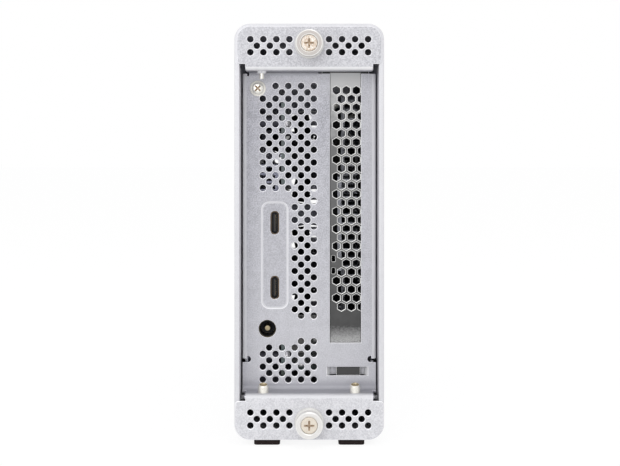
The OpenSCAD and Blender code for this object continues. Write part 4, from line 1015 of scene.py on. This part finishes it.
# Each sheet's last look colours its rounded edges; RIM and BRACKET_RIM are painted highlights.
SHEETS = (
    Softened("shell", "outer_shell", Body.HOUSING, "shell_aluminium", 0.25 * MM, (Look.SHELL,)),
    Softened("feet", "rubber_feet", Body.HOUSING, "foot_rubber", 0.35 * MM, (Look.RUBBER,)),
    Softened("fan_end_panel", "front_panel", Body.HOUSING, "front_aluminium", 0.25 * MM, (Look.FRONT,)),
    Softened("panel_sheet", "rear_panel", Body.TRAY, "zinc_sheet", 0.14 * MM, (Look.ZINC, Look.RIM),
             VENTS),
    Softened("top_sheet", "top_bracket", Body.TRAY, "zinc_sheet", 0.14 * MM, (Look.PLATE, Look.RIM),
             VENTS),
    Softened("card_bracket", "slot_bracket", Body.TRAY, "bracket_steel", 0.14 * MM,
             (Look.BRACKET, Look.BRACKET_RIM), HEXES),
    Softened("chassis", "chassis_tray", Body.TRAY, "zinc_sheet", 0.14 * MM, (Look.TRAY, Look.RIM)))


@dataclass
class Thumbscrews:
    """The two captive thumbscrews: a knurled sleeve, the screw in it and the collar behind it.

    Heights stand out of the end plates, and those behind the plates are below zero.

    Attributes:
        face, back: Heights of the sleeve's two ends.
        radius, bore: Its outer and inner radius.
        edge: Width of its rounded edges.
        pocket, pocket_floor, pocket_rim: The pocket's radius, its floor's height, its mouth's bevel.
        knurls, knurl_deep: How many knurls there are, and how deep they are.
        slant: How far a face of a rounded edge leans, as the part of its normal along the axis; such
            faces take the painted highlight.
        head, head_radius: Height and radius of the screw's head.
        shank, root, pitch, tip: The thread's outer and inner radius, its pitch and its end's height.
        crest, valley: Parts of the pitch that the thread's crest and its valley take up.
        groove, groove_radius: Heights and radius of the groove that holds the ring.
        cross: Reach, width and depth of the cross recess.
        collar_edge: Width of the collar's rounded edges.
        head_sides: How many sides the screw has.
        smooth: Edges under this many degrees are shaded smooth.
    """

    face: float = 8.5 * MM
    back: float = 2.1 * MM
    radius: float = 5.15 * MM
    bore: float = 2.02 * MM
    edge: float = 0.4 * MM
    pocket: float = 3.25 * MM
    pocket_floor: float = 6.3 * MM
    pocket_rim: float = 0.4 * MM
    knurls: int = 80
    knurl_deep: float = 0.14 * MM
    slant: Span = (0.3, 0.95)
    head: float = 8.0 * MM
    head_radius: float = 3.12 * MM
    shank: float = 2.0 * MM
    root: float = 1.68 * MM
    pitch: float = 0.7 * MM
    tip: float = -12.0 * MM
    crest: Span = (0.15, 0.3)
    valley: Span = (0.65, 0.8)
    groove: Span = (-6.1 * MM, -7.1 * MM)
    groove_radius: float = 1.6 * MM
    cross: Size = (1.95 * MM, 0.72 * MM, 1.1 * MM)
    collar_edge: float = 0.2 * MM
    head_sides: int = 48
    smooth: float = 35.0

    def build(self) -> None:
        """Make both screws with their collars."""
        # The upper screw takes the darker knob copy, painted shade, and the lower the paler one, painted
        # light.
        for end, body, knob_look, core_look in (
                ("upper", Body.UPPER_SCREW, Look.KNOB_UPPER, Look.CORE_UPPER),
                ("lower", Body.LOWER_SCREW, Look.KNOB_LOWER, Look.CORE_LOWER)):
            knob, screw, collar = end + "_thumb_knob", end + "_thumb_screw", end + "_screw_collar"
            low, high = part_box(knob)
            at = Vector((0, REAR_Y, (low.z + high.z) / 2))
            piece = self.sleeve(end + "_knurled_knob", knob_look)
            stand(piece, at, Facing.REAR)
            mount(piece, body, "knob_steel", knob)
            piece = self.core(end + "_captive_screw", core_look)
            stand(piece, at, Facing.REAR)
            mount(piece, body, "core_steel", screw)
            Softened(end + "_pressed_collar", collar, Body.TRAY, "knob_steel", self.collar_edge,
                     (Look.COLLAR,)).build()

    def sleeve(self, name: str, look: Look) -> Object:
        """Turn the knob's sleeve and press the knurls into its side."""
        inner = (self.pocket, self.pocket_floor)
        piece = lathe(name, [
            inner, (self.pocket, self.face - self.pocket_rim), (self.pocket + self.pocket_rim, self.face),
            (self.radius - self.edge, self.face), (self.radius, self.face - self.edge),
            (self.radius, self.face - 2 * self.edge), (self.radius, self.back + 2 * self.edge),
            (self.radius, self.back + self.edge), (self.radius - self.edge, self.back),
            (self.bore, self.back), (self.bore, self.pocket_floor), inner], look, self.knurls)
        piece.data.materials.append(Look.KNOB_EDGE.material)
        # The rounded edges take KNOB_EDGE, a painted highlight.
        tint(piece, 1, lambda face: self.slant[0] < abs(face.normal.z) < self.slant[1])
        middle = (self.face + self.back) / 2
        choose(piece, lambda face: abs(face.center.z - middle) < self.edge
               and face.center.xy.length > self.pocket)
        bpy.ops.mesh.inset(thickness=self.knurl_deep / 2, depth=-self.knurl_deep, use_individual=True)
        pick(piece)
        shade(piece, self.smooth)
        return piece

    def core(self, name: str, look: Look) -> Object:
        """Turn the screw with its groove and thread, and cut the cross into its head."""
        rings = [(self.head_radius - self.edge, self.head), (self.head_radius, self.head - self.edge / 2),
                 (self.head_radius, self.pocket_floor), (self.shank, self.pocket_floor),
                 (self.shank, self.groove[0]), (self.groove_radius, self.groove[0]),
                 (self.groove_radius, self.groove[1])]
        level = self.groove[1]
        while level > self.tip + self.pitch:
            rings += [(radius, level - share * self.pitch) for radius, shares in (
                (self.shank, self.crest), (self.root, self.valley)) for share in shares]
            level -= self.pitch
        rings.append((self.groove_radius, self.tip))
        piece = lathe(name, rings, look, self.head_sides)
        cross_cut(piece, self.cross, self.head)
        shade(piece, self.smooth)
        return piece


@dataclass
class Fasteners:
    """The screws that hold the rear panel, each with its own kind of head.

    Attributes:
        pan: Radius and height of each ring of the pan-head screw, from its top down.
        pan_cross, pan_turn: Reach, width and depth of its cross recess, and its turn in degrees.
        pan_sides, dome_sides: How many sides each kind has.
        dome: Radius and height of each ring of a dome screw, from its end up, into its socket.
        dome_radius: Its head's radius.
        socket: Radius and height of the lowest faces that belong to the socket.
        cant, cant_from, cant_about: How far the top of the head leans towards the rear, and the
            heights that this starts at and turns about.
        floor_height: Height of the recess's floor.
        smooth: Edges under this many degrees are shaded smooth.
    """

    pan: tuple[Span, ...] = (
        (1.2 * MM, 2.0 * MM), (1.85 * MM, 1.88 * MM), (2.25 * MM, 1.55 * MM), (2.42 * MM, 1.05 * MM),
        (2.46 * MM, 0.55 * MM), (2.9 * MM, 0.5 * MM), (3.1 * MM, 0.3 * MM), (3.1 * MM, 0),
        (1.5 * MM, 0), (1.5 * MM, -7.0 * MM))
    pan_cross: Size = (1.5 * MM, 0.7 * MM, 1.1 * MM)
    pan_turn: float = 45.0
    pan_sides: int = 56
    dome_sides: int = 48
    dome: tuple[Span, ...] = (
        (1.5 * MM, -4.2 * MM), (1.5 * MM, 0), (2.03 * MM, 0), (2.03 * MM, 1.6 * MM),
        (1.98 * MM, 2.2 * MM), (1.86 * MM, 2.7 * MM), (1.72 * MM, 3.0 * MM), (1.6 * MM, 3.16 * MM),
        (1.5 * MM, 3.2 * MM), (1.4 * MM, 3.1 * MM), (1.2 * MM, 2.3 * MM), (0.5 * MM, 2.1 * MM))
    dome_radius: float = 2.03 * MM
    socket: Span = (1.45 * MM, 1.9 * MM)
    cant: float = math.radians(-18)
    cant_from: float = 2.1 * MM
    cant_about: float = 2.6 * MM
    floor_height: float = 19.7 * MM
    smooth: float = 40.0

    def build(self) -> None:
        """Make the panel's pan-head screw and the two dome screws on the floor."""
        low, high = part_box("panel_screw")
        piece = lathe("pan_head_screw", list(self.pan), Look.SCREW, self.pan_sides)
        top = self.pan[0][1]
        cross_cut(piece, self.pan_cross, top, self.pan_turn)
        shade(piece, self.smooth)
        stand(piece, Vector(((low.x + high.x) / 2, low.y + top, (low.z + high.z) / 2)), Facing.REAR)
        mount(piece, Body.TRAY, "screw_steel", "panel_screw")
        low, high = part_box("floor_screws")
        screws = []
        for x in (low.x + self.dome_radius, high.x - self.dome_radius):
            piece = lathe("dome_screws", list(self.dome), Look.SCREW, self.dome_sides)
            # The socket takes RECESS, painted shade.
            piece.data.materials.append(Look.RECESS.material)
            tint(piece, 1, lambda face: face.center.xy.length < self.socket[0]
                 and face.center.z > self.socket[1])
            choose(piece, lambda face: face.center.z > self.cant_from)
            bpy.ops.transform.rotate(value=self.cant, orient_axis="X",
                                     center_override=(0, 0, self.cant_about))
            pick(piece)
            shade(piece, self.smooth)
            stand(piece, Vector((x, (low.y + high.y) / 2, self.floor_height)), Facing.UP)
            screws.append(piece)
        mount(join(screws), Body.TRAY, "screw_steel", "floor_screws")


@dataclass
class Connectors:
    """The two data ports and the power inlet.

    Attributes:
        port_x: The ports' axis.
        shell, wall: Half a port's width and height, and its shell's wall.
        edge, jack_edge: Width of the ports' and of the inlet's rounded edges.
        tongue_half: Half the thickness of a port's tongue.
        contacts, contact_pitch: How many contacts each side of the tongue has, and their spacing.
        contact, contact_in: A contact's size, and how deep its middle lies.
        jack_half: From the inlet body's side to its axis.
        pin_reach, pin_depth: Radius about that axis that is the pin, and how far off the back.
    """

    port_x: float = -13.5 * MM
    shell: Span = (1.6 * MM, 4.47 * MM)
    wall: float = 0.3 * MM
    edge: float = 0.06 * MM
    jack_edge: float = 0.12 * MM
    tongue_half: float = 0.35 * MM
    contacts: int = 12
    contact_pitch: float = 0.5 * MM
    contact: Size = (0.04 * MM, 3.2 * MM, 0.26 * MM)
    contact_in: float = 3.4 * MM
    jack_half: float = 4.5 * MM
    pin_reach: float = 1.3 * MM
    pin_depth: float = 1.0 * MM

    def build(self) -> None:
        """Make both ports and the inlet."""
        for level in ("upper", "lower"):
            self.port(level, "usb_c_port_" + level)
        low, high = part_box("dc_jack")
        axis = Vector((low.x + self.jack_half, 0, (low.z + high.z) / 2))
        # The inlet's pin takes the darkened PIN look, a painted shade.
        Softened("power_inlet", "dc_jack", Body.TRAY, "jack_plastic", self.jack_edge,
                 (Look.JACK, Look.PIN),
                 inner=lambda face: (face.center - axis).xz.length < self.pin_reach
                 and face.center.y < high.y - self.pin_depth).build()

    def port(self, level: str, node: str) -> None:
        """Dress one port: a bronze shell, black inside, with gold contacts on its tongue; the black is
        the moulding's own and, on the shell's inner walls, painted shade.
        """
        low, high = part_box(node)
        middle = (low.z + high.z) / 2
        inner_x, inner_z = (half - 0.8 * self.wall for half in self.shell)
        # The tongue and back are black moulding; the shell's inner walls are painted black too, a painted
        # shade.
        Softened(level + "_port", node, Body.TRAY, "port_steel", self.edge, (Look.PORT, Look.SOCKET),
                 inner=lambda face: abs(face.center.x - self.port_x) < inner_x
                 and abs(face.center.z - middle) < inner_z
                 and face.center.y > low.y + self.wall / 10).build()
        strips = []
        thick = self.contact[0]
        for side in (-1, 1):
            for index in range(self.contacts):
                at = Vector((self.port_x + side * (self.tongue_half + thick / 4), low.y + self.contact_in,
                             middle + (index - (self.contacts - 1) / 2) * self.contact_pitch))
                strips.append(block(level + "_port_contacts", at, self.contact, thick / 4, Look.GOLD))
        mount(join(strips), Body.TRAY, "post_brass")


@dataclass
class BoardParts:
    """The small parts soldered to the boards: rows of chip capacitors and pin headers.

    Attributes:
        chip, chip_edge, cap: A chip part's size, its bevel and the length of its metal ends.
        chip_cuts: How often its faces are split.
        main_rows, card_rows: Heights of rows and depths of their parts, in millimetres from the desk
            and the rear plates, on the main board and on the carrier card.
        headers: Each header's name, depth and height in millimetres, and number of pins.
        pin_pitch, pin_size, pin_in: The pins' spacing, length and width, and how far off they are.
        pin_edge, shroud_edge: The bevels of the pins and the shroud.
        shroud, shroud_wall, shroud_depth: The shroud's depth, width and what its height adds to its
            pins, its wall, and how deep it is open.
    """

    chip: Size = (0.7 * MM, 1.7 * MM, 0.9 * MM)
    chip_edge: float = 0.08 * MM
    cap: float = 0.35 * MM
    chip_cuts: int = 3
    main_rows: tuple[tuple[tuple[float, ...], range], ...] = (
        ((72.5, 76.0, 104.0, 107.5, 111.0), range(34, 64, 5)), ((112.0, 116.5), range(72, 140, 6)))
    card_rows: tuple[tuple[tuple[float, ...], range], ...] = (
        ((108.0, 112.0, 116.0), range(30, 76, 5)), ((48.0, 52.0, 56.0), range(34, 76, 5)))
    headers: tuple[tuple[str, float, float, int], ...] = (
        ("fan_header", 136, 96, 4), ("panel_header", 136, 62, 6))
    pin_pitch: float = 2.54 * MM
    pin_size: Span = (4 * MM, 0.64 * MM)
    pin_in: float = 3 * MM
    pin_edge: float = 0.1 * MM
    shroud_edge: float = 0.15 * MM
    shroud: Size = (6 * MM, 5.8 * MM, 1.6 * MM)
    shroud_wall: float = 0.7 * MM
    shroud_depth: float = 4.6 * MM

    def build(self) -> None:
        """Fill the free places of the main board and the carrier card."""
        main_face, card_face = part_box("main_board")[0].x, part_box("carrier_card")[1].x
        self.chips("main_board_parts", main_face, -1, self.main_rows)
        self.chips("carrier_card_parts", card_face, 1, self.card_rows)
        for name, depth, height, pins in self.headers:
            self.header(name, Vector((main_face, REAR_Y + depth * MM, height * MM)), pins)

    def chips(self, name: str, face: float, side: int,
              rows: tuple[tuple[tuple[float, ...], range], ...]) -> None:
        """Solder chip parts, each a body between two metal ends, to one face of a board.

        Args:
            name: The piece's name.
            face: The board's face, along X.
            side: 1 if the parts stand toward +X, -1 if toward -X.
            rows: Heights of the rows and depths of their parts, in millimetres.
        """
        thick, length, _ = self.chip
        model = block(name, Vector(), self.chip, self.chip_edge, Look.CERAMIC, Look.TIN)
        choose(model, lambda part: abs(part.normal.x) > FACING or abs(part.normal.z) > FACING)
        bpy.ops.mesh.subdivide(number_cuts=self.chip_cuts)
        pick(model)
        tint(model, 1, lambda part: abs(part.center.y) > length / 2 - self.cap)
        parts = []
        for depth, height in ((depth, height) for heights, depths in rows for height in heights
                              for depth in depths):
            part = bpy.data.objects.new(name, model.data.copy())
            bpy.context.scene.collection.objects.link(part)
            part.location = (face + side * thick / 2, REAR_Y + depth * MM, height * MM)
            settle(part)
            parts.append(part)
        bpy.data.objects.remove(model)
        mount(join(parts), Body.TRAY, "chip_black")

    def header(self, name: str, middle: Vector, pins: int) -> None:
        """Fit a pin header in its open-topped shroud to the main board's outer face.

        Args:
            name: The piece's name.
            middle: The header's middle, on that face.
            pins: How many pins it has.
        """
        deep, wide, ends = self.shroud
        shroud = block(name, middle - Vector((deep / 2, 0, 0)),
                       (deep, wide, pins * self.pin_pitch + ends), self.shroud_edge, Look.LINK)
        choose(shroud, lambda part: part.normal.x < -FACING)
        bpy.ops.mesh.inset(thickness=self.shroud_wall)
        bpy.ops.mesh.extrude_region_move(TRANSFORM_OT_translate={"value": (self.shroud_depth, 0, 0)})
        pick(shroud)
        parts = [shroud]
        length, width = self.pin_size
        for index in range(pins):
            at = middle + Vector((-self.pin_in, 0, (index - (pins - 1) / 2) * self.pin_pitch))
            parts.append(block(name, at, (length, width, width), self.pin_edge, Look.PIN))
        mount(join(parts), Body.TRAY, "link_plastic")


@dataclass
class Studio:
    """The camera, the lamps, the floor and the white surround.

    Attributes:
        frame_width: Width of the picture in its own pixels.
        distance: From the camera to the end plates.
        plate_scale: Pixels per metre at the end plates.
        level: The camera's height.
        across: The camera's place across the width.
        horizon_rise: How far the horizon lies above the picture's middle, in pixels.
        sensor: The sensor's width in millimetres.
        soft, white: The surround's strength as a light and as it is seen.
        floor_size, floor_shade, floor_rough: The floor's size, its own colour and its roughness.
        floor_glow, floor_share: How brightly and how far it glows where it is seen.
        front_lamp, top_lamp: Place, size and power of the two large lamps.
        fill_at, fill_size, fill_power, fill_colour: The small lamp behind the panel: its place from
            the rear plates, its size, power and colour.
    """

    frame_width: float = 620.0
    distance: float = 0.6
    plate_scale: float = 2606.0
    level: float = 117.3 * MM
    across: float = 0.3 * MM
    horizon_rise: float = 93.0
    sensor: float = 36.0
    soft: float = 0.66
    white: float = 1.0
    floor_size: float = 12.0
    floor_shade: float = 0.86
    floor_rough: float = 0.9
    floor_glow: float = 1.09
    floor_share: float = 0.8
    front_lamp: tuple[Size, Span, float] = ((-0.35, -1.3, 0.42), (0.9, 0.9), 3.9)
    top_lamp: tuple[Size, Span, float] = ((0.2, -0.4, 1.3), (1.0, 1.0), 2.2)
    fill_at: Size = (-11 * MM, 14.4 * MM, 82 * MM)
    fill_size: Span = (28 * MM, 110 * MM)
    fill_power: float = 0.009
    fill_colour: Colour = (0.84, 0.84, 1.0)

    def build(self) -> None:
        """Set up the scene around the object."""
        bpy.context.scene.view_settings.view_transform = "Standard"
        self.camera()
        self.world()
        self.floor()
        self.lamps()

    def camera(self) -> None:
        """Put a level camera before the connector end, its picture shifted down."""
        lens = bpy.data.cameras.new("camera")
        lens.sensor_width = self.sensor
        lens.lens = self.plate_scale * self.distance * self.sensor / self.frame_width
        lens.shift_y = -self.horizon_rise / self.frame_width
        lens.clip_start = 10 * MM
        camera = bpy.data.objects.new("camera", lens)
        plate_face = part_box("top_bracket")[0].y
        camera.location = (self.across, plate_face - self.distance, self.level)
        camera.rotation_euler = (math.pi / 2, 0, 0)
        bpy.context.scene.collection.objects.link(camera)
        bpy.context.scene.camera = camera

    def world(self) -> None:
        """Surround everything with soft light that shows as white behind the object and in metal."""
        world = bpy.data.worlds.new("surround")
        bpy.context.scene.world = world
        world.use_nodes = True
        graph = Graph(world.node_tree)
        graph.tree.nodes.clear()
        soft, white = (
            graph.place("Background", {"Color": (1, 1, 1, 1), "Strength": strength}).outputs[0]
            for strength in (self.soft, self.white))
        seen = graph.seen("Is Camera Ray", "Is Glossy Ray", "Is Transmission Ray")
        mix = graph.place("MixShader", {0: seen, 1: soft, 2: white})
        graph.tree.links.new(mix.outputs[0], graph.place("OutputWorld").inputs["Surface"])

    def floor(self) -> None:
        """Lay a pale floor that shows white and keeps a faint shadow."""
        pick()
        bpy.ops.mesh.primitive_plane_add(size=self.floor_size, location=(0, 0, 0))
        floor = bpy.context.object
        floor.name = "studio_floor"
        paint = Paint("studio_floor")
        paint.set(Base_Color=(*(self.floor_shade,) * 3, 1.0), Roughness=self.floor_rough)
        glow = paint.place("Emission", {"Color": (1, 1, 1, 1), "Strength": self.floor_glow}).outputs[0]
        share = paint.maths("MULTIPLY", paint.seen("Is Camera Ray", "Is Glossy Ray"), self.floor_share)
        mix = paint.place("MixShader", {0: share, 1: paint.shader.outputs[0], 2: glow})
        paint.tree.links.new(mix.outputs[0], paint.output)
        floor.data.materials.append(paint.material)

    def lamps(self) -> None:
        """Hang one large soft lamp before the object, a second above it and a faint one inside."""
        middle = (CAD_BOX[0] + CAD_BOX[1]) / 2
        self.lamp("front_lamp", middle, *self.front_lamp)
        self.lamp("top_lamp", middle, *self.top_lamp)
        at = Vector(self.fill_at) + Vector((0, REAR_Y, 0))
        inner = self.lamp("inner_fill", Vector((at.x, 0, at.z)), at, self.fill_size, self.fill_power)
        inner.data.color = self.fill_colour
        inner.visible_camera = False

    @staticmethod
    def lamp(name: str, aim: Vector, at: Size | Vector, size: Span, power: float) -> Object:
        """Add a rectangular area lamp.

        Args:
            name: The lamp's name.
            aim: The point that it faces.
            at: Where it hangs.
            size: Its width and height.
            power: Its power in watts.

        Returns:
            The lamp.
        """
        data = bpy.data.lights.new(name, "AREA")
        data.shape = "RECTANGLE"
        data.size, data.size_y = size
        data.energy = power
        lamp = bpy.data.objects.new(name, data)
        lamp.location = at
        lamp.rotation_euler = (aim - Vector(at)).to_track_quat("-Z", "Y").to_euler()
        bpy.context.scene.collection.objects.link(lamp)
        return lamp


KEPT = {
    Look.FRAME: ("front_frame",),
    Look.LIGHT: ("power_light",),
    Look.TRAY: ("card_clamp",),
    Look.BLOCK: ("upper_screw_block", "lower_screw_block", "upper_retaining_ring",
                 "lower_retaining_ring"),
    Look.BOARD: ("carrier_card", "riser_board", "main_board", "ssd_board_1", "ssd_board_2",
                 "ssd_board_3", "ssd_board_4"),
    Look.CHIP: ("ssd_chips", "switch_chip", "controller_chip"),
    Look.SOCKET: ("card_connector", "ssd_sockets"),
    Look.LINK: ("board_link",),
    Look.SINK: ("ssd_heatsink", "switch_heatsink", "controller_heatsink"),
    Look.SCREW: ("front_screws", "roof_rivets", "bracket_screws", "clamp_screw", "ssd_screws",
                 "heatsink_screws", "board_screws", "fan_screws"),
    Look.BRASS: ("ssd_standoffs",),
    Look.POST: ("riser_standoffs", "board_standoffs"),
    Look.PAD: ("thermal_pads",),
    Look.CAN: ("capacitors",),
    Look.COIL: ("inductors",),
    Look.FAN: ("upper_fan_frame", "lower_fan_frame", "upper_fan_rotor", "lower_fan_rotor")}


def main() -> None:
    """Build the studio and dress the enclosure."""
    logging.basicConfig(level=logging.INFO, format="%(name)s: %(message)s")
    for part in (Studio(), *SHEETS, Thumbscrews(), Fasteners(), Connectors(), BoardParts()):
        part.build()
    for look, nodes in KEPT.items():
        for node in nodes:
            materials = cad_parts[node].data.materials
            materials.clear()
            materials.append(look.material)


if __name__ == "__main__":
    main()
